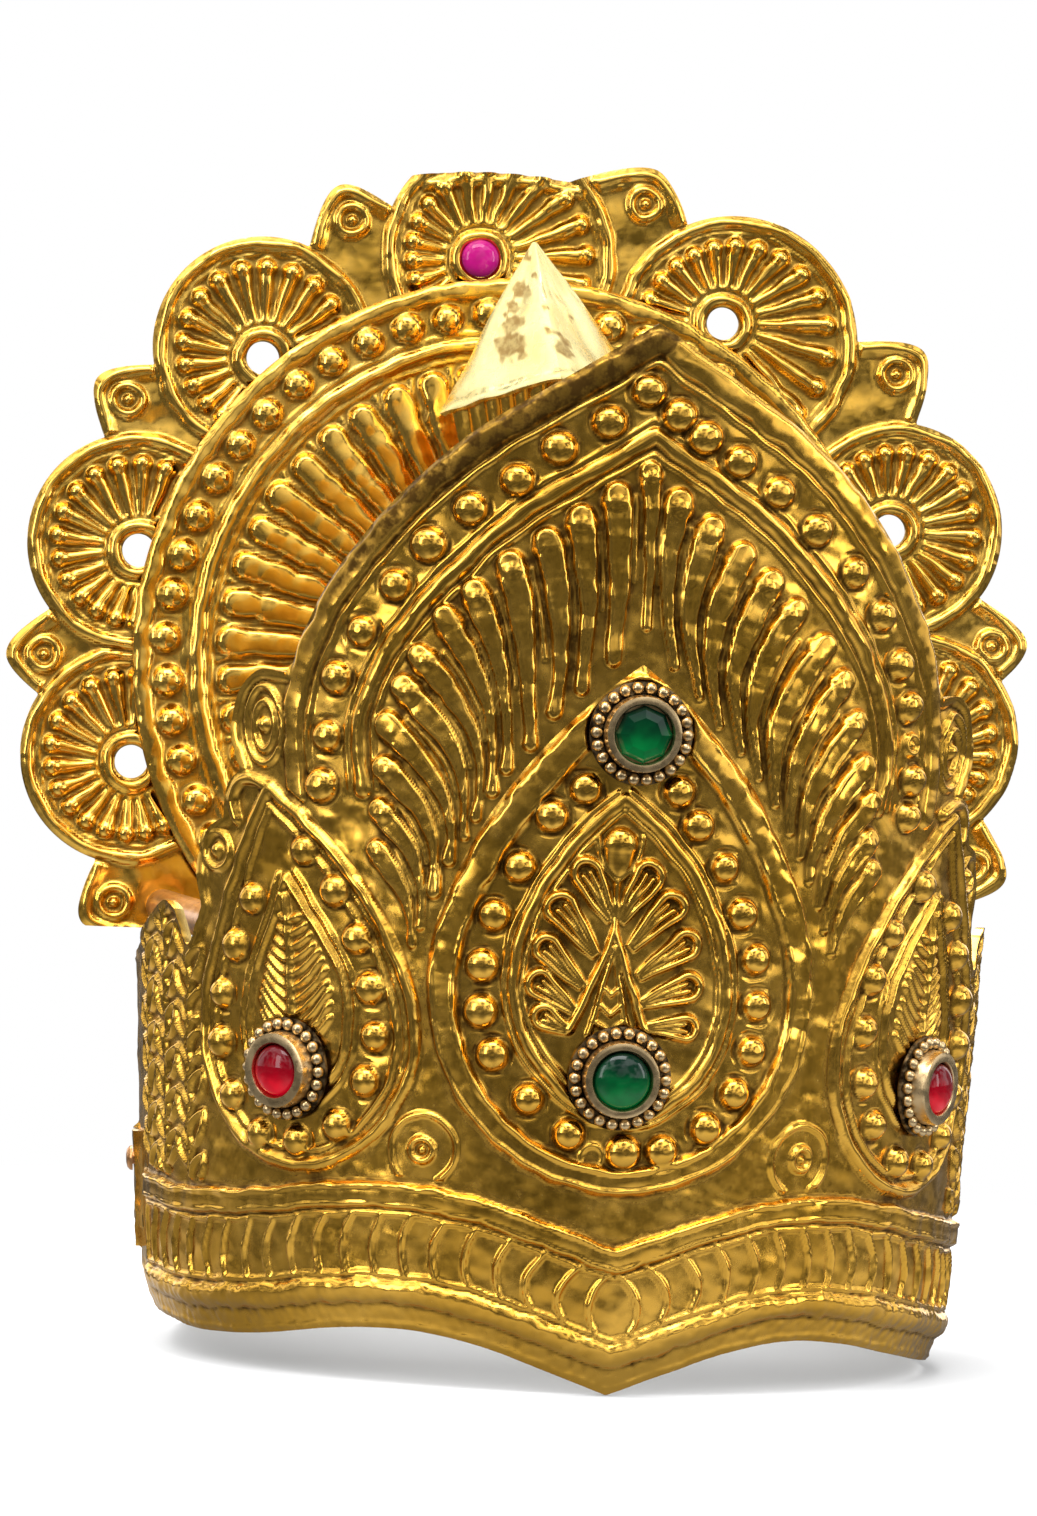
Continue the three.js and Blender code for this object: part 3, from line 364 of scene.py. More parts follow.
    def beat(self, seed: int, tiny: float | np.ndarray, fine: float, broad: float) -> None:
        """Adds the shallow marks of the hammer, by the depth of the tiny, the small and the wide ones."""
        xs, ys = self.x[None, :], self.y[:, None]
        self.height += tiny * Wobble(seed + 2, 2.3)(xs, ys)
        self.height += fine * Wobble(seed, 5.2)(xs, ys) + broad * Wobble(seed + 1, 13.0)(xs, ys)

    def tarnish(self, points: np.ndarray, half: float, depth: float | Sequence[float]) -> None:
        """Darkens a strip along a run."""
        kept, self.height = self.height, self.stain
        self.stroke(points, half, depth, Profile.SOFT)
        self.stain, self.height = self.height, kept

    def like(self, height: np.ndarray) -> Relief:
        """Returns a pattern with the same layout and other heights."""
        other = copy(self)
        other.height = height
        return other

    def hollows(self, reach: float) -> Relief:
        """Returns a pattern of how far each place stands above its surroundings."""
        span = max(1, int(round(reach / self.pitch)))
        mean = self.height
        for axis in (0, 1, 0, 1):
            pad = [(0, 0), (0, 0)]
            pad[axis] = (span + 1, span)
            total = np.cumsum(np.pad(mean, pad, mode="edge"), axis=axis)
            late = total.take(range(2 * span + 1, total.shape[axis]), axis=axis)
            mean = (late - total.take(range(0, late.shape[axis]), axis=axis)) / (2 * span + 1)
        return self.like(self.height - mean - self.stain)

    def sunk(self, reach: float) -> Relief:
        """Returns the pattern of the lowest height within a distance of each place."""
        span = max(1, int(round(reach / self.pitch)))
        low = self.height
        for axis in (0, 1):
            pad = [(0, 0), (0, 0)]
            pad[axis] = (span, span)
            padded = np.pad(low, pad, mode="edge")
            low = np.lib.stride_tricks.sliding_window_view(padded, 2 * span + 1, axis).min(axis=-1)
        return self.like(low)

    def sample(self, points: np.ndarray) -> np.ndarray:
        """Returns the heights at points of the pattern."""
        rows, columns = self.height.shape
        place = (points - self.low) / self.pitch
        column = np.clip(place[:, 0].astype(int), 0, columns - 2)
        row = np.clip(place[:, 1].astype(int), 0, rows - 2)
        fx, fy = np.clip(place[:, 0] - column, 0, 1), np.clip(place[:, 1] - row, 0, 1)
        lower = self.height[row, column] * (1 - fx) + self.height[row, column + 1] * fx
        upper = self.height[row + 1, column] * (1 - fx) + self.height[row + 1, column + 1] * fx
        return lower * (1 - fy) + upper * fy


class Wiring:
    """Hand that places shader nodes in a tree and joins them."""

    def __init__(self, tree: bpy.types.NodeTree) -> None:
        """Clears the tree that is to be wired."""
        self.tree = tree
        tree.nodes.clear()

    def node(self, kind: str, inputs: dict | None = None, **settings: object) -> bpy.types.Node:
        """Places a node.

        Args:
            kind: Blender's name of the node.
            inputs: Values or outgoing sockets for its input sockets, by name or number.
            settings: Properties of the node itself.

        Returns:
            The node.
        """
        node = self.tree.nodes.new(kind)
        for name, value in settings.items():
            setattr(node, name, value)
        for name, value in (inputs or {}).items():
            if isinstance(value, bpy.types.NodeSocket):
                self.tree.links.new(value, node.inputs[name])
            else:
                node.inputs[name].default_value = value
        return node

    def math(
        self, operation: str, first: object, second: object = 0.0, clamp: bool = False
    ) -> bpy.types.NodeSocket:
        """Returns the result of a sum on one or two values."""
        node = self.node("ShaderNodeMath", {0: first, 1: second}, operation=operation, use_clamp=clamp)
        return node.outputs[0]

    def mix(self, factor: object, first: object, second: object) -> bpy.types.NodeSocket:
        """Returns a colour between two colours."""
        node = self.node("ShaderNodeMix", {0: factor, 6: first, 7: second}, data_type="RGBA")
        return node.outputs[2]

    def ranged(
        self, value: object, low: float, high: float, out_low: float, out_high: float
    ) -> bpy.types.NodeSocket:
        """Returns a value moved from one range to another and held inside it."""
        limits = {0: value, 1: low, 2: high, 3: out_low, 4: out_high}
        return self.node("ShaderNodeMapRange", limits, interpolation_type="SMOOTHSTEP").outputs[0]

    def ramp(self, value: object, stops: Pairs) -> bpy.types.NodeSocket:
        """Returns a grey level by a value, from pairs of value and level."""
        node = self.node("ShaderNodeValToRGB", {0: value})
        while len(node.color_ramp.elements) < len(stops):
            node.color_ramp.elements.new(0.5)
        for element, (place, level) in zip(node.color_ramp.elements, stops):
            element.position, element.color = place, (level, level, level, 1.0)
        return node.outputs[0]

    def noise(
        self, vector: bpy.types.NodeSocket, scale: object, detail: float = 3.0, rough: float = 0.55
    ) -> bpy.types.NodeSocket:
        """Returns a cloudy value by place."""
        settings = {"Vector": vector, "Scale": scale, "Detail": detail, "Roughness": rough}
        return self.node("ShaderNodeTexNoise", settings).outputs["Fac"]


def new_group(name: str, inputs: dict[str, str], outputs: dict[str, str]) -> tuple[Wiring, dict, dict]:
    """Starts a shader node group.

    Args:
        name: The group's name.
        inputs: Kinds of its input sockets by name.
        outputs: Kinds of its output sockets by name.

    Returns:
        The wiring, the sockets that come in and the sockets that go out.
    """
    tree = bpy.data.node_groups.new(name, "ShaderNodeTree")
    for direction, sockets in (("INPUT", inputs), ("OUTPUT", outputs)):
        for label, kind in sockets.items():
            tree.interface.new_socket(label, in_out=direction, socket_type=kind)
    wiring = Wiring(tree)
    entry = wiring.node("NodeGroupInput")
    leave = wiring.node("NodeGroupOutput")
    return wiring, {s.name: s for s in entry.outputs if s.name}, {s.name: s for s in leave.inputs if s.name}


def hammering_group() -> bpy.types.NodeTree:
    """Returns the group for the dents of a small hammer and the fine grain of old sheet."""
    wiring, given, out = new_group(
        "hammer_marks",
        {"Vector": "NodeSocketVector", "Dents": "NodeSocketFloat", "Grain": "NodeSocketFloat"},
        {"Height": "NodeSocketFloat"},
    )
    warp = wiring.node("ShaderNodeTexNoise", {"Vector": given["Vector"], "Scale": 140.0, "Detail": 1.0})
    moved = wiring.node(
        "ShaderNodeVectorMath", {0: warp.outputs["Color"], 1: (0.006, 0.006, 0.006)}, operation="MULTIPLY"
    )
    place = wiring.node("ShaderNodeVectorMath", {0: given["Vector"], 1: moved.outputs[0]}, operation="ADD")
    dents = wiring.node(
        "ShaderNodeTexVoronoi",
        {"Vector": place.outputs[0], "Scale": given["Dents"], "Smoothness": 0.35, "Randomness": 1.0},
        feature="SMOOTH_F1",
    )
    broad = wiring.math("MULTIPLY", dents.outputs["Distance"], 0.9)
    grain = wiring.noise(given["Vector"], 1500.0, 4.0, 0.65)
    grain = wiring.math("MULTIPLY", grain, given["Grain"])
    wiring.tree.links.new(wiring.math("ADD", broad, grain), out["Height"])
    return wiring.tree


def gilding_group() -> bpy.types.NodeTree:
    """Returns the group for worn gilding: bright on what stands proud, dark with grime and painted shade in
    the hollows.
    """
    wiring, given, out = new_group(
        "worn_gilding_and_shade",
        {
            "Vector": "NodeSocketVector",
            "Hollow": "NodeSocketFloat",
            "Bright": "NodeSocketColor",
            "Deep": "NodeSocketColor",
            "Dirt And Shade": "NodeSocketColor",
            "Dirt And Shade Amount": "NodeSocketFloat",
            "Polish": "NodeSocketFloat",
        },
        {"Colour": "NodeSocketColor", "Roughness": "NodeSocketFloat"},
    )
    clouds = wiring.noise(given["Vector"], 42.0, 4.0, 0.6)
    specks = wiring.noise(given["Vector"], 420.0, 3.0, 0.6)
    tone = wiring.math("ADD", wiring.math("MULTIPLY", clouds, 1.5), wiring.math("MULTIPLY", specks, 0.5))
    tone = wiring.ranged(tone, 0.72, 1.3, 0.0, 1.0)
    metal = wiring.mix(tone, given["Deep"], given["Bright"])
    proud = wiring.ranged(given["Hollow"], 0.1, 0.75, 0.0, 0.55)
    metal = wiring.mix(proud, metal, given["Bright"])
    # Painted shade with grime: the hollows darken, in patches, towards the dirt-and-shade colour; the random
    # stains after it are real dirt.
    sunk = wiring.ranged(given["Hollow"], -0.08, -0.62, 0.0, 1.0)
    patchy = wiring.ranged(specks, 0.3, 0.62, 0.55, 1.0)
    dirt_and_shade = wiring.math("MULTIPLY", wiring.math("MULTIPLY", sunk, patchy), given["Dirt And Shade Amount"], clamp=True)
    stains = wiring.ranged(wiring.noise(given["Vector"], 150.0, 5.0, 0.7), 0.6, 0.74, 0.0, 0.45)
    dirt_and_shade = wiring.math("MAXIMUM", dirt_and_shade, wiring.math("MULTIPLY", stains, given["Dirt And Shade Amount"]))
    wiring.tree.links.new(wiring.mix(dirt_and_shade, metal, given["Dirt And Shade"]), out["Colour"])
    rough = wiring.math("ADD", given["Polish"], wiring.ranged(specks, 0.3, 0.75, -0.05, 0.1))
    rough = wiring.math("ADD", rough, wiring.math("MULTIPLY", dirt_and_shade, 0.3))
    rough = wiring.math("SUBTRACT", rough, wiring.math("MULTIPLY", proud, 0.12), clamp=True)
    wiring.tree.links.new(rough, out["Roughness"])
    return wiring.tree


Colour = tuple[float, float, float]
PLAIN_BACK: Colour = (0.74, 0.56, 0.22)
PLAIN_BACK_ROUGHNESS = 0.4
PLAIN_BACK_DULLNESS = 0.12


@dataclass(frozen=True)
class MetalFinish:
    """Worn, hammered metal, with grime and painted shade in its hollows."""

    slot: str
    bright: Colour
    deep: Colour
    # Colour of the grime and painted shade in the hollows, and how strongly it shows.
    dirt_and_shade: Colour
    dirt_and_shade_amount: float = 1.0
    polish: float = 0.18
    dents: float = 210.0
    dent_depth: float = 0.0001
    grain: float = 0.03
    plain_back: bool = False

    def material(self, groups: dict[str, bpy.types.NodeTree]) -> bpy.types.Material:
        """Builds the finish.

        Args:
            groups: The shared shader groups by name.

        Returns:
            The material.
        """
        material = bpy.data.materials.new(self.slot)
        material.use_nodes = True
        wiring = Wiring(material.node_tree)
        place = wiring.node("ShaderNodeTexCoord").outputs["Object"]
        hollow = wiring.node("ShaderNodeAttribute", attribute_name=HOLLOW).outputs["Fac"]
        marks = wiring.node("ShaderNodeGroup", node_tree=groups["hammer_marks"])
        gilding = wiring.node("ShaderNodeGroup", node_tree=groups["worn_gilding_and_shade"])
        links = wiring.tree.links
        links.new(place, marks.inputs["Vector"])
        links.new(place, gilding.inputs["Vector"])
        links.new(hollow, gilding.inputs["Hollow"])
        marks.inputs["Dents"].default_value = self.dents
        marks.inputs["Grain"].default_value = self.grain
        for name, colour in (("Bright", self.bright), ("Deep", self.deep), ("Dirt And Shade", self.dirt_and_shade)):
            gilding.inputs[name].default_value = (*colour, 1.0)
        gilding.inputs["Dirt And Shade Amount"].default_value = self.dirt_and_shade_amount
        gilding.inputs["Polish"].default_value = self.polish
        dents = {"Height": marks.outputs["Height"], "Strength": 1.0, "Distance": self.dent_depth}
        normal = wiring.node("ShaderNodeBump", dents).outputs["Normal"]
        colour, rough, metallic = gilding.outputs["Colour"], gilding.outputs["Roughness"], 1.0
        if self.plain_back:
            behind = wiring.node("ShaderNodeAttribute", attribute_name=BACK).outputs["Fac"]
            colour = wiring.mix(behind, colour, (*PLAIN_BACK, 1.0))
            rough = wiring.math("MAXIMUM", rough, wiring.math("MULTIPLY", behind, PLAIN_BACK_ROUGHNESS))
            metallic = wiring.math("SUBTRACT", 1.0, wiring.math("MULTIPLY", behind, PLAIN_BACK_DULLNESS))
        surface = {"Base Color": colour, "Roughness": rough, "Metallic": metallic, "Normal": normal}
        shader = wiring.node("ShaderNodeBsdfPrincipled", surface)
        wiring.node("ShaderNodeOutputMaterial", {"Surface": shader.outputs[0]})
        return material


@dataclass(frozen=True)
class StoneFinish:
    """Polished coloured stone with painted light: lighter and glowing towards its lower side, as a bright
    backing would light it.
    """

    slot: str
    # clear is the painted lit colour and dark the painted shaded colour; glow is the strength of the painted
    # glow.
    clear: Colour
    dark: Colour
    glow: float = 0.0

    def material(self, groups: dict[str, bpy.types.NodeTree]) -> bpy.types.Material:
        """Builds the finish.

        Args:
            groups: The shared shader groups by name, which a stone does not need.

        Returns:
            The material.
        """
        material = bpy.data.materials.new(self.slot)
        material.use_nodes = True
        wiring = Wiring(material.node_tree)
        place = wiring.node("ShaderNodeTexCoord").outputs["Object"]
        cloud = wiring.ranged(wiring.noise(place, 190.0, 2.0, 0.5), 0.35, 0.65, -0.2, 0.2)
        # Painted light: the stone turns from its dark colour to its clear colour, and glows, towards its
        # lower side.
        lower = wiring.node("ShaderNodeAttribute", attribute_name=HOLLOW).outputs["Fac"]
        lit = wiring.ranged(wiring.math("ADD", lower, cloud), -0.7, 1.0, 0.0, 1.0)
        colour = wiring.mix(lit, (*self.dark, 1.0), (*self.clear, 1.0))
        shader = wiring.node(
            "ShaderNodeBsdfPrincipled",
            {
                "Base Color": colour,
                "Roughness": wiring.ranged(wiring.noise(place, 700.0), 0.3, 0.7, 0.04, 0.1),
                "IOR": 1.5,
                "Specular IOR Level": 0.32,
                "Coat Weight": 0.1,
                "Coat Roughness": 0.03,
                "Emission Color": colour,
                "Emission Strength": wiring.math("MULTIPLY", lit, self.glow),
            },
        )
        wiring.node("ShaderNodeOutputMaterial", {"Surface": shader.outputs[0]})
        return material


# The third colour of each metal is its grime and painted shade in the hollows.
SHEET_GILT = MetalFinish(
    "gilt_sheet", (0.93, 0.53, 0.085), (0.76, 0.41, 0.05), (0.1, 0.05, 0.01), plain_back=True
)
HALO_GILT = MetalFinish(
    "gilt_halo", (0.98, 0.59, 0.11), (0.85, 0.48, 0.065), (0.17, 0.085, 0.016), 0.85, polish=0.16
)
PALE_GILT = MetalFinish(
    "pale_gilt", (1.0, 0.89, 0.44), (0.97, 0.78, 0.3), (0.34, 0.19, 0.05), 0.9, polish=0.24,
    dents=120.0, grain=0.05,
)
BRONZE = MetalFinish(
    "antique_bronze", (0.76, 0.56, 0.3), (0.38, 0.24, 0.1), (0.02, 0.011, 0.005), polish=0.32,
    dents=600.0, dent_depth=0.00003,
)
COPPER = MetalFinish("copper", (0.84, 0.5, 0.26), (0.6, 0.3, 0.12), (0.14, 0.06, 0.02), 0.8, polish=0.32)
# Each stone gives its painted lit colour, its painted shaded colour and the strength of its painted glow.
GREEN_STONE = StoneFinish("green_stone", (0.0, 0.17, 0.035), (0.0, 0.022, 0.01), 0.28)
RED_STONE = StoneFinish("red_stone", (0.66, 0.001, 0.016), (0.16, 0.0, 0.005), 0.5)
PINK_STONE = StoneFinish("pink_stone", (0.76, 0.012, 0.3), (0.4, 0.004, 0.14), 0.25)
FINISHES = (SHEET_GILT, HALO_GILT, PALE_GILT, BRONZE, COPPER, GREEN_STONE, RED_STONE, PINK_STONE)


def stand(name: str, data: bpy.types.ID) -> bpy.types.Object:
    """Puts a mesh, a lamp or a camera into the scene, at the origin."""
    thing = bpy.data.objects.new(name, data)
    bpy.context.scene.collection.objects.link(thing)
    return thing


class Workshop:
    """Makes the materials once and turns finished meshes into pieces of the crown."""

    def __init__(self) -> None:
        """Builds the shared shader groups and every finish."""
        groups = {tree.name: tree for tree in (hammering_group(), gilding_group())}
        self.materials = {finish.slot: finish.material(groups) for finish in FINISHES}

    def piece(
        self, name: str, mesh: bpy.types.Mesh, finish: MetalFinish | StoneFinish, nodes: Sequence[str]
    ) -> bpy.types.Object:
        """Puts a mesh into the scene as a piece of the crown.

        Args:
            name: The piece's name.
            mesh: Its mesh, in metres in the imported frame.
            finish: Its finish.
            nodes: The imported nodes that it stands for.

        Returns:
            The new object.
        """
        thing = stand(name, mesh)
        mesh.materials.append(self.materials[finish.slot])
        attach(thing, "root")
        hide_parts(*nodes)
        LOG.info("%s: %d faces for %s", name, len(mesh.polygons), ", ".join(nodes))
        return thing

    def solid(
        self,
        name: str,
        shape: bmesh.types.BMesh,
        finish: MetalFinish | StoneFinish,
        nodes: Sequence[str],
        place: Matrix = Matrix.Identity(4),
        crease: float = 38.0,
        hollow: Callable[[Vector], float] | None = None,
    ) -> bpy.types.Object:
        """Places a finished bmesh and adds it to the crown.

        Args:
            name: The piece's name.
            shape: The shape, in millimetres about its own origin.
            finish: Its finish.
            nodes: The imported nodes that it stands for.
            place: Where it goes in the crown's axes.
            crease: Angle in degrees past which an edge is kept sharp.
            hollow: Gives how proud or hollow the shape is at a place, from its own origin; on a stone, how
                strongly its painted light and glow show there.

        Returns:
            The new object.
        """
        bmesh.ops.recalc_face_normals(shape, faces=shape.faces[:])
        if hollow:
            layer = shape.verts.layers.float.new(HOLLOW)
            for vert in shape.verts:
                vert[layer] = hollow(vert.co)
        bmesh.ops.transform(shape, matrix=TO_FRAME @ place, verts=shape.verts[:])
        limit = math.radians(crease)
        for edge in shape.edges:
            edge.smooth = edge.calc_face_angle(0.0) < limit
        for face in shape.faces:
            face.smooth = True
        mesh = bpy.data.meshes.new(name)
        shape.to_mesh(mesh)
        shape.free()
        return self.piece(name, mesh, finish, nodes)

    def sheet(
        self,
        name: str,
        loops: Sequence[np.ndarray],
        relief: Relief,
        place: Placing,
        finish: MetalFinish,
        nodes: Sequence[str],
        spacing: float,
        wall: float = 0.8,
        reach: float = 1.3,
    ) -> bpy.types.Object:
        """Cuts an embossed sheet to its outline, bends it to its form and adds it.

        Args:
            name: The piece's name.
            loops: The outline in the flat pattern, then the holes.
            relief: The pattern's heights.
            place: Turns pattern places and heights into the crown's axes.
            finish: Its finish.
            nodes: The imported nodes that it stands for.
            spacing: Size of the mesh's squares.
            wall: Thickness of the sheet.
            reach: Distance over which a place counts as proud or hollow.

        Returns:
            The new object.
        """
        shape = cut_sheet(loops, spacing)
        bmesh.ops.solidify(shape, geom=shape.faces[:], thickness=wall)
        for edge in shape.edges:
            edge.smooth = edge.calc_face_angle(0.0) < 1.0
        middle = sum(vert.co.z for vert in shape.verts) / len(shape.verts)
        inner = [
            vert for vert in shape.verts
            if vert.co.z < middle and all(other.other_vert(vert).co.z < middle for other in vert.link_edges)
        ]
        bmesh.ops.unsubdivide(shape, verts=inner, iterations=4)
        mesh = bpy.data.meshes.new(name)
        shape.to_mesh(mesh)
        shape.free()
        flat = np.empty(len(mesh.vertices) * 3)
        mesh.vertices.foreach_get("co", flat)
        flat = flat.reshape(-1, 3)
        top = flat[:, 2].max()
        back = relief.sunk(4.0 * spacing).sample(flat[:, :2]) - wall
        height = np.where(flat[:, 2] < top - wall / 2, back, relief.sample(flat[:, :2]))
        points = (place(flat[:, 0], flat[:, 1], height) + np.array(AXIS_SHIFT)) * MM
        mesh.vertices.foreach_set("co", points.ravel())
        # How proud or sunk each place stands; the finish paints shade and grime into the sunk places.
        hollow = relief.hollows(reach).sample(flat[:, :2])
        mesh.attributes.new(HOLLOW, "FLOAT", "POINT").data.foreach_set("value", hollow)
        behind = (flat[:, 2] < top - wall / 2).astype(float)
        mesh.attributes.new(BACK, "FLOAT", "POINT").data.foreach_set("value", behind)
        mesh.polygons.foreach_set("use_smooth", np.ones(len(mesh.polygons), dtype=bool))
        mesh.update()
        return self.piece(name, mesh, finish, nodes)


def cut_sheet(loops: Sequence[np.ndarray], spacing: float) -> bmesh.types.BMesh:
    """Cuts a flat grid to an outline with holes.

    Args:
        loops: The outline, then the holes.
        spacing: Size of the grid's squares.

    Returns:
        The flat sheet, whose border lies on the outline.
    """
    low, high = loops[0].min(axis=0), loops[0].max(axis=0)
    steps = np.ceil((high - low) / spacing).astype(int)
    sheet = bmesh.new()
    bmesh.ops.create_grid(sheet, x_segments=int(steps[0]), y_segments=int(steps[1]), size=0.5)
    bmesh.ops.scale(sheet, vec=(*(high - low), 1.0), verts=sheet.verts[:])
    bmesh.ops.translate(sheet, vec=(*((low + high) / 2), 0.0), verts=sheet.verts[:])
    border = np.concatenate([resample(np.concatenate([loop, loop[:1]]), spacing / 3)[0] for loop in loops])
    tree = KDTree(len(border))
    for k, (x, y) in enumerate(border):
        tree.insert((x, y, 0.0), k)
    tree.balance()
    flat = np.array([vert.co[:2] for vert in sheet.verts])
    kept = inside(flat, loops[0])
    for hole in loops[1:]:
        kept &= ~inside(flat, hole)
    strays = [
        vert for vert, keep in zip(sheet.verts, kept) if not keep and tree.find(vert.co)[2] > 0.42 * spacing
    ]
    bmesh.ops.delete(sheet, geom=strays, context="VERTS")
    loose = [vert for vert in sheet.verts if not vert.link_faces]
    bmesh.ops.delete(sheet, geom=loose, context="VERTS")
    rim = [vert for vert in sheet.verts if vert.is_boundary]
    for vert in rim:
        vert.co = tree.find(vert.co)[0]
    bmesh.ops.remove_doubles(sheet, verts=rim, dist=0.1 * spacing)
    return sheet


def packed_box(node: str) -> tuple[Vector, Vector]:
    """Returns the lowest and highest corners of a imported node, in the crown's axes."""
    low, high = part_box(node)
    return Vector(low) / MM - Vector(AXIS_SHIFT), Vector(high) / MM - Vector(AXIS_SHIFT)


def turned(profile: Pairs, steps: int) -> bmesh.types.BMesh:
    """Turns a closed round piece about the Z axis.

    Args:
        profile: Pairs of radius and height from the foot up, both ends on the axis.
        steps: Number of sides.

    Returns:
        The turned piece.
    """
    shape = bmesh.new()
    verts = [shape.verts.new((radius, 0.0, height)) for radius, height in profile]
    edges = [shape.edges.new(pair) for pair in zip(verts, verts[1:])]
    bmesh.ops.spin(
        shape, geom=verts + edges, cent=(0, 0, 0), axis=(0, 0, 1), angle=2 * math.pi, steps=steps,
        use_merge=True,
    )
    bmesh.ops.remove_doubles(shape, verts=shape.verts[:], dist=1e-4)
    return shape


def open_cone(sides: int, top: float, cuts: int) -> bmesh.types.BMesh:
    """Returns an open cone of height 1 and foot radius 1, cut across into rings."""
    cone = bmesh.new()
    bmesh.ops.create_cone(
        cone, segments=sides, radius1=1.0, radius2=top, depth=1.0, cap_ends=False, cap_tris=False
    )
    upright = [edge for edge in cone.edges if abs(edge.verts[0].co.z - edge.verts[1].co.z) > 0.5]
    bmesh.ops.subdivide_edges(cone, edges=upright, cuts=cuts, use_grid_fill=True)
    return cone


@dataclass
class Drop:
    """Pointed drop drawn on the wall."""

    u: float
    middle: float
    radius: float
    apex: float
    apex_shift: float
    lean: float = 0.0
    fullness: float = 0.5
    sink: float = 0.25
    shoulder: float = math.radians(70)

    def run(self, inset: float = 0.0, step: float = 0.5) -> np.ndarray:
        """Draws the drop's outline.

        Args:
            inset: Distance inside its edge.
            step: Rough distance between points.

        Returns:
            A closed run from the apex down the left side and round, whose last point repeats the first.
        """
        radius, middle = self.radius - inset, self.middle - self.sink * inset
        apex = self.apex - self.apex_shift * inset
        side, shoulder = radius * math.sin(self.shoulder), middle + radius * math.cos(self.shoulder)
        tip = self.u + self.lean
        pull = self.fullness * math.hypot(side, apex - shoulder)
        bow_x = side - pull * math.cos(self.shoulder)
        bow_z = shoulder + pull * math.sin(self.shoulder)
        left = bow((tip, apex), (self.u - bow_x, bow_z), (self.u - side, shoulder), 60)
        turn = np.linspace(math.pi / 2 + self.shoulder, 2.5 * math.pi - self.shoulder, 120)
        arc = np.stack([self.u + radius * np.cos(turn), middle + radius * np.sin(turn)], axis=1)
        right = bow((self.u + side, shoulder), (self.u + bow_x, bow_z), (tip, apex), 60)
        return resample(np.concatenate([left, arc[1:], right[1:]]), step)[0]

    def side(self, hand: int) -> np.ndarray:
        """Returns one half of the outline from its lowest point to its apex, by -1 left or 1 right."""
        run = self.run()
        lowest = int(np.argmin(run[:, 1]))
        return run[: lowest + 1][::-1] if hand < 0 else run[lowest:]


@dataclass(frozen=True)
class Plume:
    """Tongue of the fan, from its head to its tail and bent aside at its middle."""

    head: tuple[float, float]
    tail: tuple[float, float]
    bend: float
    width: float = 1.0

    def run(self) -> np.ndarray:
        """Returns the tongue's middle line from its head down."""
        share = np.linspace(0.0, 1.0, 24)[:, None]
        line = np.array(self.head) + (np.array(self.tail) - np.array(self.head)) * share
        return line + np.array([self.bend, 0.0]) * np.sin(np.pi * share**0.94)


FAN = (
    Plume((-50.5, 105.0), (-43.2, 87.0), 2.2), Plume((-50.0, 113.1), (-41.3, 90.3), 3.4),
    Plume((-49.1, 121.2), (-38.8, 97.4), 4.2), Plume((-48.6, 129.3), (-35.7, 103.6), 4.6),
    Plume((-45.6, 137.1), (-33.0, 108.4), 4.8), Plume((-42.6, 143.2), (-30.7, 112.1), 5.3),
    Plume((-37.7, 150.8), (-27.9, 117.0), 3.6), Plume((-32.2, 156.0), (-24.9, 121.8), 2.2),
    Plume((-25.4, 161.5), (-20.9, 126.7), 1.0), Plume((-19.0, 166.5), (-16.4, 133.0), 1.9),
    Plume((-12.9, 171.2), (-11.6, 137.6), 1.2), Plume((-6.5, 175.6), (-5.8, 143.6), 0.7),
    Plume((-0.3, 180.6), (0.3, 150.0), 0.2, 0.72),
    Plume((5.2, 174.9), (5.9, 142.7), -1.9), Plume((11.6, 170.2), (11.2, 137.0), -3.2),
    Plume((17.7, 164.8), (15.2, 131.6), -3.6), Plume((24.0, 160.2), (20.4, 126.8), -4.4),
    Plume((29.6, 155.0), (24.3, 121.9), -4.8), Plume((36.5, 148.4), (28.3, 116.6), -4.7),
    Plume((41.7, 141.5), (31.9, 111.4), -4.2), Plume((45.6, 133.6), (34.7, 106.8), -3.7),
    Plume((48.3, 124.9), (37.2, 102.0), -3.1), Plume((50.9, 117.6), (39.8, 96.8), -2.8),
    Plume((51.3, 110.4), (41.9, 92.2), -2.2), Plume((52.4, 103.8), (43.8, 87.6), -1.8),
)


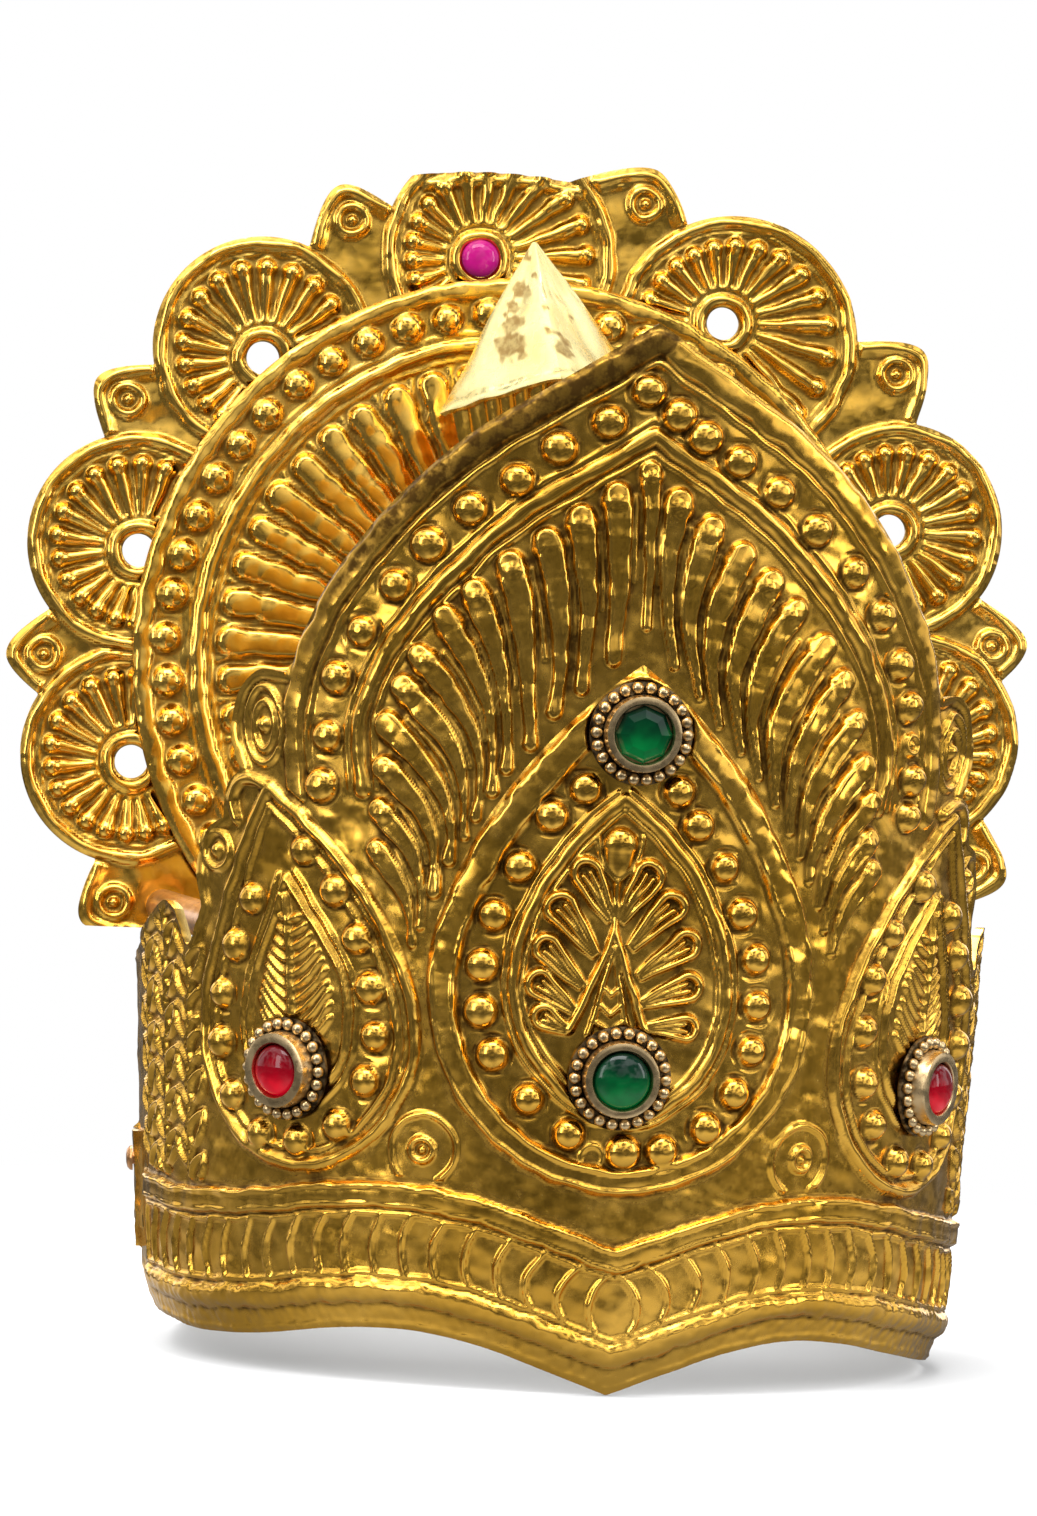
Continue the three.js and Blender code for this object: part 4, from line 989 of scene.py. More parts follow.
@dataclass
class FrontSheet:
    """Embossed sheet of the front and sides: arch, drops, ears, tabs and lower band."""

    base_radius: float = 83.0
    flare: float = 0.056
    reference: float = 88.0
    seam_u: float = 149.0
    rear_top: float = 80.0
    rear_blend: float = 55.0
    crease_rise: float = 30.6
    band_ribs: int = 20
    rib_pitch: float = 6.6
    fade: tuple[float, float] = (126.0, 136.0)
    bottom: Pairs = (
        (0, 0), (13, 4.4), (28, 8.7), (43, 10.5), (60, 9.3), (80, 6.2), (105, 3), (130, 1), (149, 0),
    )
    bottom_left: Pairs = (
        (0, 0), (13, 4.3), (27.5, 8.7), (43, 11), (60, 10.4), (79.5, 7.8), (92, 6.7), (107, 6.2), (125, 7.0),
        (149, 7.0),
    )
    tuck: tuple[float, float] = (12.0, 2.8)
    arch: Pairs = (
        (0, 209), (17, 197.5), (33, 187), (46, 175.5), (57, 163.5), (65.5, 151.5), (71, 139), (73, 127),
        (72, 115),
    )
    arch_rows_above_ear: int = 7
    arch_lines: Sequence[tuple[float, float, float, Profile]] = (
        (2.9, 2.7, 1.15, Profile.FLAT),
        (6.5, 0.62, 0.7, Profile.ROUND),
        (15.4, 0.55, 0.5, Profile.ROUND),
        (18.0, 1.75, 1.3, Profile.ROUND),
        (21.0, 0.6, 0.7, Profile.ROUND),
    )
    band_lines: Sequence[tuple[float, float, float, Profile, Blend]] = (
        (1.0, 0.9, 0.35, Profile.SOFT, Blend.OVER),
        (4.7, 0.8, 0.45, Profile.SOFT, Blend.CUT),
        (7.6, 2.6, 1.7, Profile.ROUND, Blend.OVER),
        (10.9, 0.55, 0.65, Profile.ROUND, Blend.OVER),
        (26.5, 2.8, 1.6, Profile.FLAT, Blend.OVER),
        (24.4, 0.62, 0.4, Profile.ROUND, Blend.ADD),
        (28.6, 0.62, 0.55, Profile.ROUND, Blend.ADD),
        (22.9, 0.5, 0.7, Profile.ROUND, Blend.OVER),
    )
    apex_shift: float = 1.21
    top_runs: Sequence[Pairs] = (
        ((149, 80), (136, 82.5), (122, 88), (112, 92.5), (106.5, 91)),
        ((106.5, 91), (101, 84), (96, 92)),
        ((96, 92), (97, 101), (93.5, 107.5), (88.5, 110)),
        ((88.5, 110), (87, 116.5), (83, 119.5)),
        ((83, 119.5), (86, 127), (83.5, 135), (78, 139.5), (71, 139)),
    )
    bead_radius: float = 3.25
    bead_rise: float = 2.8
    arch_beads: Pairs = (
        (-63.1, 117.1), (-62.1, 127.0), (-60.1, 138.1), (-54.7, 147.5), (-47.7, 156.7), (-41.3, 164.6),
        (-33.2, 171.9), (-24.8, 177.8), (-17.5, 184.0), (-8.5, 189.6), (-1.2, 195.8), (4.2, 191.6),
        (9.6, 187.4), (16.4, 183.3), (24.7, 177.5), (33.4, 170.8), (42.8, 163.1), (50.7, 154.8),
        (57.0, 145.4), (60.6, 137.1), (63.4, 122.7), (63.2, 115.2),
    )
    arch_stud: tuple[float, float] = (62.2, 129.6)
    fan: tuple[Plume, ...] = FAN
    fan_half: float = 3.1
    fan_share: float = 0.47
    centre: Drop = field(default_factory=lambda: Drop(0, 79.7, 40, 143, 1.3))
    sides: tuple[Drop, Drop] = field(
        default_factory=lambda: (
            Drop(-69, 69.4, 28.4, 117.5, 0.9, lean=-7, fullness=0.56),
            Drop(73.5, 67, 28.2, 116.5, 0.9, lean=7, fullness=0.56),
        )
    )
    side_beads: tuple[Pairs, Pairs] = (
        (
            (-67.1, 104.1), (-59.7, 96.5), (-54.9, 87.6), (-51.7, 77.9), (-50.6, 68.2), (-52.5, 59.7),
            (-59.2, 50.5), (-68.8, 47.0), (-78.8, 47.7), (-86.6, 54.9), (-90.4, 65.0), (-89.5, 74.9),
            (-85.5, 84.9), (-80.6, 93.8),
        ),
        (
            (70.2, 101.6), (61.1, 92.0), (56.0, 82.5), (54.9, 72.0), (56.1, 62.3), (60.2, 53.3), (69.0, 46.0),
            (80.0, 44.6), (89.6, 50.2), (95.2, 58.6), (95.6, 68.4), (93.4, 78.0), (89.6, 87.2), (83.6, 95.6),
        ),
    )
    leaf: Pairs = (
        (2.7, 99.0), (-1.8, 93.0), (-7.7, 85.4), (-11.2, 78.4), (-12.1, 71.2), (-10.5, 63.3), (-5.0, 56.5),
        (2.0, 54.5), (8.5, 57.5), (12.0, 64.5), (12.5, 72.3), (10.8, 79.7), (7.2, 88.0), (4.0, 95.0),
        (2.7, 99.0),
    )
    curl: Pairs = ((76.0, 115.8), (80.0, 117.6), (84.2, 117.2), (86.2, 114.0), (85.2, 109.6))
    leaf_stems: tuple[float, float, int] = (33.2, 10.8, 3)
    leaf_pitch: float = 4.2
    leaf_tip: tuple[float, float] = (5.2, 7.4)
    leaf_bulge: float = 4.0
    ear: tuple[float, float] = (77.4, 128.6)
    tab_ring: tuple[float, float] = (91.2, 103.4)
    band_stud: tuple[float, float] = (40.0, 46.8)
    seats: Pairs = ((0, 129.7), (-1, 62.5), (-70.8, 61), (76.5, 61))
    centre_beads: Pairs = (
        (-9.6, 118.7), (-16.0, 112.9), (-22.0, 103.1), (-26.6, 93.3), (-28.6, 83.3), (-28.5, 74.5),
        (-26.6, 66.0), (-19.0, 57.8), (-10.5, 51.3), (0.3, 47.9), (8.4, 48.4), (17.0, 53.0), (23.2, 60.1),
        (26.5, 68.4),
        (26.8, 77.0), (25.7, 86.3), (22.8, 95.2), (17.8, 104.1), (12.7, 112.3), (8.2, 118.6),
    )
    centre_ridge: Pairs = (
        (-2.5, 116.6), (-8.2, 111.6), (-15.6, 101.7), (-20.4, 92.0), (-22.5, 82.4), (-21.4, 72.8),
        (-16.7, 64.5), (-8.5, 57.0), (-1.0, 54.8), (7.0, 56.4), (14.0, 61.4), (18.8, 69.8), (20.2, 81.0),
        (17.6, 91.4),
        (12.5, 101.9), (4.6, 111.2), (-2.3, 116.7),
    )
    palmette_bud: tuple[float, float] = (-2.8, 108.0)
    palmette_leaves: Sequence[tuple[tuple[float, float], tuple[float, float], float]] = (
        ((-4.0, 93.0), (-9.0, 102.2), 2.6), ((-6.8, 86.4), (-13.9, 95.3), 2.6),
        ((-9.0, 80.0), (-16.2, 87.3), 2.45), ((-10.8, 75.4), (-17.3, 80.4), 2.3),
        ((-11.4, 71.2), (-16.2, 74.0), 2.1), ((-2.2, 93.0), (2.9, 102.0), 2.6),
        ((0.2, 88.0), (7.6, 96.2), 2.6), ((2.0, 82.6), (11.0, 88.8), 2.5),
        ((3.0, 77.0), (11.9, 80.6), 2.5), ((4.0, 72.4), (11.8, 72.6), 2.2),
    )

    def place(self, u: np.ndarray, z: np.ndarray, height: np.ndarray) -> np.ndarray:
        """Returns the points of the wall at pattern places, lifted outwards by heights."""
        reach, depth = self.tuck
        around = 2.0 * math.pi * self.reference
        ahead = u - around * np.round(u / around)
        under = depth * np.clip(1.0 - (z - self.wave(ahead)) / reach, 0.0, 1.0) ** 2
        under *= 1.0 - smooth_step(self.seam_u, self.seam_u + self.rear_blend, np.abs(ahead))
        angle, radius = u / self.reference, self.base_radius + self.flare * z + height - under
        return np.stack([radius * np.sin(angle), -radius * np.cos(angle), z], axis=1)

    def standing(self, u: float, z: float, lift: float) -> Matrix:
        """Returns a place on the wall whose Z axis points straight out of it."""
        angle = u / self.reference
        outward = Vector((math.sin(angle), -math.cos(angle), -self.flare)).normalized()
        spot = self.place(np.array([u]), np.array([z]), np.array([lift]))[0]
        return Matrix.Translation(spot) @ outward.to_track_quat("Z", "Y").to_matrix().to_4x4()

    @staticmethod
    def curve(pairs: Pairs, places: np.ndarray) -> np.ndarray:
        """Returns the heights of a smooth curve through pairs, at places along it."""
        knots = np.array(pairs, dtype=float)
        ends = np.concatenate([knots[:1], knots, knots[-1:]])
        slopes = (ends[2:, 1] - ends[:-2, 1]) / (ends[2:, 0] - ends[:-2, 0])
        places = np.clip(places, 0.0, knots[-1, 0])
        k = np.clip(np.searchsorted(knots[:, 0], places), 1, len(knots) - 1)
        span = knots[k, 0] - knots[k - 1, 0]
        t = (places - knots[k - 1, 0]) / span
        rise = (1 + 2 * t) * (1 - t) ** 2 * knots[k - 1, 1] + t * t * (3 - 2 * t) * knots[k, 1]
        return rise + span * t * (1 - t) * ((1 - t) * slopes[k - 1] - t * slopes[k])

    def wave(self, u: np.ndarray) -> np.ndarray:
        """Returns the height of the wavy lower edge."""
        return np.where(u < 0, self.curve(self.bottom_left, -u), self.curve(self.bottom, u))

    def band_run(self, rise: float, start: float, end: float) -> np.ndarray:
        """Returns a run beside the lower edge, at a height above it, between two places."""
        u = np.linspace(start, end, max(8, int(abs(end - start) * 2)))
        return np.stack([u, self.wave(u) + rise], axis=1)

    def arch_half(self, inset: float, step: float = 0.5) -> np.ndarray:
        """Returns the right half of a run beside the arch's edge, from the apex down."""
        edge = smooth_run(self.arch, step)
        along = np.gradient(edge, axis=0)
        along /= np.hypot(*along.T)[:, None]
        inner = edge + inset * np.stack([along[:, 1], -along[:, 0]], axis=1)
        apex = np.array([[0.0, self.arch[0][1] - self.apex_shift * inset]])
        return np.concatenate([apex, inner[inner[:, 0] > 0.6]])

    def arch_run(self, inset: float) -> np.ndarray:
        """Returns the whole run beside the arch's edge, from left to right."""
        half = self.arch_half(inset)
        return np.concatenate([mirrored(half)[::-1], half[1:]])

    def top_edge(self) -> np.ndarray:
        """Returns the right side's upper edge, from the seam to where the ear meets the arch."""
        runs = [smooth_run(pairs) for pairs in self.top_runs]
        return np.concatenate([runs[0]] + [run[1:] for run in runs[1:]])

    def arch_foot(self) -> np.ndarray:
        """Returns the right end of the arch's edge behind the ear, from the ear down."""
        edge = smooth_run(self.arch)
        start = int(np.argmin(np.hypot(*(edge - np.array(self.arch[self.arch_rows_above_ear - 1])).T)))
        return edge[start:]

    def seam(self, hand: int) -> np.ndarray:
        """Returns the crease beside a side drop from the band up to the arch, by -1 left or 1 right."""
        drop = self.sides[(hand + 1) // 2]
        foot = np.array([[drop.u, self.wave(np.array([drop.u]))[0] + self.crease_rise]])
        rise = drop.side(-hand)
        outer = self.arch[-1][0]
        return np.concatenate([foot, rise[(rise[:, 1] < drop.middle) | (np.abs(rise[:, 0]) < outer)]])

    def outlines(self) -> dict[str, np.ndarray]:
        """Returns the outlines of the parts that the sheet is made in, split along its creases."""
        edge = smooth_run(self.arch)[::-1]
        left, right = self.sides
        crease = self.band_run(self.crease_rise, left.u, right.u)
        arch = np.concatenate([self.seam(1), edge, mirrored(edge)[::-1][1:], self.seam(-1)[::-1]])
        found = {"panel": np.concatenate([crease[1:-1], arch])}
        for name, hand, drop in (("left", -1, left), ("right", 1, right)):
            flank = self.band_run(self.crease_rise, drop.u, hand * self.seam_u)
            upper = np.concatenate([self.top_edge(), self.arch_foot()[1:]]) * np.array([hand, 1.0])
            found[name] = np.concatenate([flank, upper, self.seam(hand)[:0:-1]])[::hand]
        found["band"] = np.concatenate([
            self.band_run(0.0, -self.seam_u, self.seam_u),
            self.band_run(self.crease_rise, self.seam_u, -self.seam_u),
        ])
        return found

    def emboss_arch(self, relief: Relief) -> None:
        """Raises the arch's rim, beads and ridges."""
        for inset, half, rise, profile in self.arch_lines:
            relief.stroke(self.arch_run(inset), half, rise, profile)
        for bead in self.arch_beads:
            relief.bead(bead, self.bead_radius, self.bead_rise)
        relief.ring_boss(self.arch_stud, 1.9, 1.2)

    def emboss_plumes(self, relief: Relief) -> None:
        """Raises the fan of plumes: flat tongues with round heads, and a ridge between two of them."""
        runs = [plume.run() for plume in self.fan]
        gaps = []
        for first, second in zip(runs, runs[1:]):
            away = np.hypot(*(first[:, None, :] - second[None, :, :]).transpose(2, 0, 1))
            gaps.append(away.min(axis=1))
            relief.stroke(((first + second) / 2)[2:15], [0.5, 0.6, 0.45], [0.5, 0.75, 0.5])
        gaps = [gaps[0], *gaps, gaps[-1]]
        for k, (plume, run) in enumerate(zip(self.fan, runs)):
            spacing = np.minimum(gaps[k], gaps[k + 1])
            halves = plume.width * np.clip(self.fan_share * spacing, 0.95, self.fan_half)
            halves[8:] *= np.linspace(1.0, 0.52, len(halves) - 8)
            relief.stroke(run, halves, 0.5 + 0.55 * halves, Profile.FLAT)
            for side in (-1.0, 1.0):
                line = beside(run[2:], side * 0.7 * halves[2:])
                relief.stroke(line, 0.48, [0.4, 0.3], Profile.ROUND, Blend.ADD)
            relief.dome(run[1], halves[0] + 0.1, 2.7 if k % 3 else 2.3)

    def emboss_centre(self, relief: Relief) -> None:
        """Raises the centre drop with its border, beads, inner ridge and palmette."""
        drop = self.centre
        relief.clear(drop.run(0.0))
        relief.stroke(drop.run(3.4), 3.2, 1.5, Profile.FLAT)
        for inset in (0.9, 5.8):
            relief.stroke(drop.run(inset), 0.6, 0.5, Profile.ROUND, Blend.ADD)
        inner = smooth_run(self.centre_ridge)
        relief.stroke(inner, 1.35, 1.2)
        for side, half, rise in ((-2.0, 0.5, 0.75), (1.9, 0.5, 0.8)):
            relief.stroke(beside(inner, side), half, rise)
        for bead in self.centre_beads:
            relief.bead(bead, self.bead_radius, self.bead_rise)
        relief.stroke(ring_run((-5.8, 46.9), 2.2), 0.6, 0.45)
        self.emboss_palmette(relief)

    def emboss_palmette(self, relief: Relief) -> None:
        """Raises the palmette: a bud, five looped leaves a side and a forked stem."""
        bud = np.array(self.palmette_bud)
        relief.stroke(np.array([bud - (0.0, 0.6), bud - (0.2, 6.6)]), [3.4, 2.6, 0.5], [2.2, 1.6, 0.6])
        relief.dome(bud, 3.5, 2.5)
        for side in (-1.0, 1.0):
            relief.stroke(bow(bud + (side * 4.4, 1.5), bud + (side * 4.6, -3.5), bud - (0.2, 7.4)), 0.5, 0.8)
        fork = np.array([-3.2, 91.4])
        relief.stroke(np.array([fork, bud - (0.2, 7.0)]), [0.8, 0.6], [1.2, 1.0])
        for foot in ((-11.2, 71.5), (3.6, 71.5)):
            pull = np.array([fork[0] + 0.32 * (foot[0] - fork[0]), 83.5])
            leg = bow(fork, pull, foot)
            relief.stroke(leg, [0.8, 1.0], 1.3)
            relief.stroke(fork + (leg - fork) * np.array([0.55, 0.86]) - (0.0, 3.4), 0.6, [1.1, 0.8])
            for rise in (80.5, 77.0, 73.8):
                inward = fork[0] + (foot[0] - fork[0]) * (89.0 - rise) / 32.0
                relief.stroke(np.array([(fork[0], rise - 2.2), (inward, rise)]), 0.5, 0.8)
        for root, head, radius in self.palmette_leaves:
            start, end = np.array(root), np.array(head)
            axis = (end - start) / np.hypot(*(end - start))
            side = np.array([-axis[1], axis[0]])
            turn = np.linspace(-1.9, 1.9, 13)[:, None]
            arc = end + radius * (np.cos(turn) * axis + np.sin(turn) * side)
            loop = np.concatenate([[start - 0.7 * side], arc, [start + 0.7 * side]])
            relief.stroke(smooth_run(loop), [0.5, 0.75, 1.05, 0.75, 0.5], [0.8, 1.5, 2.1, 1.5, 0.8])
            for offset in (-0.33, 0.33):
                away = radius * offset * side
                rib = bow(start, (start + end) / 2 + 0.4 * away, end + away)
                relief.stroke(rib, [0.45, 0.55, 0.5], [0.7, 1.15, 1.2])

    def emboss_side(self, relief: Relief, drop: Drop, beads: Pairs) -> None:
        """Raises a side drop with its border, beads and veined leaf."""
        hand = math.copysign(1.0, drop.u)
        relief.clear(drop.run(0.0))
        for inset, half, rise in ((1.5, 1.4, 1.5), (3.4, 0.45, 0.6), (5.3, 0.7, 1.0)):
            relief.stroke(drop.run(inset), half, rise)
        for bead in beads:
            relief.bead(bead, self.bead_radius * 0.97, self.bead_rise)
        leaf = smooth_run([(drop.u + hand * aside, z) for aside, z in self.leaf])
        relief.stroke(leaf, 0.7, 1.1)
        relief.stroke(beside(leaf, -2.1 * hand), 0.46, 0.7)
        foot, tip = drop.u + 0.8 * hand, drop.u + 2.6 * hand
        relief.stroke(np.array([(foot, 68.0), (tip, 95.5)]), [0.9, 0.6], 1.3)
        within = smooth_run(
            [(drop.u + hand * (1.6 + 0.76 * (aside - 1.6)), z - 1.6) for aside, z in self.leaf]
        )
        for z in np.arange(64.0, 91.0, 2.6):
            stem = foot + (tip - foot) * (z - 68.0) / 27.5
            for side in (-1.0, 1.0):
                run = bow((stem, z), (stem + side * 4.4, z + 1.0), (stem + side * 8.6, z + 7.6))
                run = run[inside(run, within)]
                if len(run) > 2:
                    relief.stroke(run, [0.45, 0.75, 0.65], [0.6, 1.0, 0.9])

    def emboss_stems(self, relief: Relief, hand: float, drop: Drop) -> None:
        """Raises the winding stems behind a side drop, with open leaves to the left and right in turn."""
        flip = np.array([hand, 1.0])
        aside, pitch, count = self.leaf_stems
        for k in range(count):
            u = abs(drop.u) + aside + pitch * k
            low = self.wave(np.array([u * hand]))[0] + self.crease_rise
            heights = np.arange(low, 104.0, 0.8)
            bends = 1.2 * np.sin(math.pi * (heights - low) / self.leaf_pitch + k)
            relief.stroke(np.stack([u + bends, heights], axis=1) * flip, 0.6, 1.0)
            for step, z in enumerate(np.arange(low - 2.0, 97.0, self.leaf_pitch)):
                side = 1.0 if (step + k) % 2 else -1.0
                root = np.array([u, z])
                tip = root + np.array([side, 1.0]) * self.leaf_tip
                for bulge in (-self.leaf_bulge, self.leaf_bulge):
                    pull = (root + tip) / 2 + bulge * np.array([0.82, -0.57 * side])
                    relief.stroke(bow(root, pull, tip, 8) * flip, [0.45, 0.72, 0.5], [0.8, 1.35, 0.8])

    def emboss_flank(self, relief: Relief, hand: float, drop: Drop) -> None:
        """Raises the leaves behind a side drop, the rolled upper edge, the ear and the curled tab."""
        flip = np.array([hand, 1.0])
        self.emboss_stems(relief, hand, drop)
        relief.clear(drop.run(-1.6))
        relief.stroke(self.top_edge() * flip, 2.2, 1.1)
        ear, ring = np.array(self.ear), np.array(self.tab_ring)
        relief.clear(ring_run(ear, 9.0, 0.68) * flip)
        relief.stroke(ring_run(ear, 7.6, 0.64) * flip, 0.75, 1.1)
        relief.stroke(ring_run(ear, 4.7, 0.58) * flip, 0.65, 1.0)
        relief.dome(ear * flip, 1.6, 1.5)
        relief.stroke(smooth_run(self.curl) * flip, 1.3, 1.5)
        relief.stroke(ring_run(ring, 3.6) * flip, 0.75, 1.1)
        relief.dome(ring * flip, 1.6, 1.3)
        relief.ring_boss(np.array(self.band_stud) * flip, 2.3, 1.1, 6.9)

    def emboss_band(self, relief: Relief) -> None:
        """Raises the lower band: hem, two rolls and the curved ribs between them."""
        ends = (-self.seam_u - 3, self.seam_u + 3)
        upper = self.band_run(self.crease_rise, *ends[::-1])
        relief.clear(np.concatenate([self.band_run(-4.0, *ends), upper]))
        for above, half, rise, profile, blend in self.band_lines:
            relief.stroke(self.band_run(above, *ends), half, rise, profile, blend)
        for k in range(self.band_ribs):
            u = 4.5 + self.rib_pitch * k
            hook = 1.8 + 4.2 * math.exp(-k / 3.0)
            for hand in (-1.0, 1.0):
                foot, head = (self.wave(np.array([hand * u]))[0] + rise for rise in (11.4, 22.6))
                pull = (u + 0.5 * hook + 0.4, (foot + head) / 2)
                run = bow((u - 0.9, foot), pull, (max(0.3, u - hook), head))
                relief.stroke(run * np.array([hand, 1.0]), [0.5, 0.68, 0.5], [0.8, 1.1, 0.8])

    def emboss(self) -> Relief:
        """Returns the whole pattern of the sheet."""
        relief = Relief((-151, -3), (151, 211), 0.21, seed=11)
        self.emboss_plumes(relief)
        self.emboss_arch(relief)
        for hand, drop in zip((-1.0, 1.0), self.sides):
            self.emboss_flank(relief, hand, drop)
        self.emboss_centre(relief)
        for drop, beads in zip(self.sides, self.side_beads):
            self.emboss_side(relief, drop, beads)
        self.emboss_band(relief)
        for spot in self.seats:
            relief.seat(spot, 9.5, 1.2)
        relief.height *= 1.0 - smooth_step(*self.fade, np.abs(relief.x))[None, :]
        above = relief.y[:, None] - self.wave(relief.x)[None, :]
        relief.beat(31, 0.004 + 0.05 * (1.0 - smooth_step(9.0, 12.0, above)), 0.035, 0.1)
        relief.tarnish(mirrored(self.arch_half(2.4)), 4.6, [2.6, 2.5, 1.6, 0.9, 0.6, 0.45, 0.4])
        return relief

    def build(self, shop: Workshop) -> None:
        """Builds the sheet in the parts that its creases divide it into.

        Args:
            shop: The workshop that makes the pieces.
        """
        relief = self.emboss()
        outlines = self.outlines()
        names = ["front_sheet"]
        drop = self.centre.run()[:-1]
        shop.sheet("front_arch", [outlines["panel"], drop], relief, self.place, SHEET_GILT, names, 0.38)
        shop.sheet("front_drop", [drop], relief, self.place, SHEET_GILT, names, 0.34)
        for hand in ("left", "right"):
            shop.sheet(f"side_panel_{hand}", [outlines[hand]], relief, self.place, SHEET_GILT, names, 0.46)
        shop.sheet("lower_band", [outlines["band"]], relief, self.place, SHEET_GILT, names, 0.44)


@dataclass
class RearSheet:
    """Plain hammered sheet that closes the ring, with a tongue lapped over each end of the front."""

    front: FrontSheet
    seam_gap: float = 0.12
    wall: float = 1.1
    gap: float = 0.3
    tongue: tuple[float, float, float, float] = (11.0, 20.0, 44.0, 3.0)
    rivet: tuple[float, float] = (143.5, 38.0)
    rivet_profile: Pairs = (
        (0, -1.3), (1.7, -1.2), (2.4, -0.5), (2.6, 0), (1.3, 0.02), (1.3, 3.08), (2.6, 3.1), (2.5, 3.6),
        (1.9, 4.15), (0.9, 4.38), (0, 4.4),
    )

    def outline(self, turn: float) -> np.ndarray:
        """Returns the outline in the flat pattern of a ring that is one turn long."""
        reach, low, high, _ = self.tongue
        start, tip, top = self.front.seam_u + self.seam_gap, self.front.seam_u - reach, self.front.rear_top
        near = [(start, top), (start, high), (tip, high), (tip, low), (start, low), (start, 0.0)]
        far = [(turn - u, z) for u, z in reversed(near[:-1])]
        lift = self.front.bottom_left[-1][1]
        share = np.linspace(1.0, 0.0, 24)
        rise = lift * (1.0 - smooth_step(0.0, 1.0, share))
        foot = list(zip(turn - start - self.front.rear_blend * share, rise))
        loop = np.array(near + foot + far, dtype=float)
        return loop[::-1]

    def build(self, shop: Workshop) -> None:
        """Builds the sheet and its two side rivets.

        Args:
            shop: The workshop that makes the pieces.
        """
        turn = 2.0 * math.pi * self.front.reference
        relief = Relief((130, -3), (turn - 130, 83), 0.6, seed=41)
        _, low, high, jog = self.tongue
        start = self.front.seam_u + self.seam_gap
        xs, ys = relief.x[None, :], relief.y[:, None]
        inward = np.minimum(xs, turn - xs) - start
        lap = (self.wall + self.gap) * (1.0 - smooth_step(0.1, jog, inward))
        relief.height += lap * ((ys > low - 1) & (ys < high + 1))
        relief.stroke(np.array([(start + 4, 78.6), (turn - start - 4, 78.6)]), 1.2, 0.6)
        relief.stroke(np.array([(start + 4, 2.0), (turn - start - 4, 2.0)]), 1.4, 0.6)
        relief.beat(51, 0.0, 0.09, 0.16)
        loops, nodes = [self.outline(turn)], ["rear_sheet"]
        shop.sheet("rear_wall", loops, relief, self.front.place, SHEET_GILT, nodes, 1.1, self.wall)
        for name, hand in (("left", -1.0), ("right", 1.0)):
            place = self.front.standing(hand * self.rivet[0], self.rivet[1], -self.wall - self.gap)
            shop.solid(
                f"lap_rivet_{name}", turned(self.rivet_profile, 24), COPPER, [f"side_rivet_{name}"], place
            )


@dataclass(frozen=True)
class Petal:
    """Round petal of the halo, by its angle from straight up; eye is its stone's angle and reach."""

    angle: float
    middle: float
    radius: float
    eye: tuple[float, float]
    trimmed: float = math.inf
    sag: float = 0.006


@dataclass(frozen=True)
class Lobe:
    """Small gable between two petals, whose sides fall away from a rounded tip."""

    angle: float
    reach: float
    before: float = 1.2
    after: float = 1.2
    rounding: float = 4.5

    def edge(self, degrees: np.ndarray) -> np.ndarray:
        """Returns the gable's reach at angles from straight up."""
        across = self.reach * np.radians(degrees - self.angle)
        slope = np.where(across < 0, self.before, self.after)
        return self.reach - slope * (np.hypot(across, self.rounding) - self.rounding)


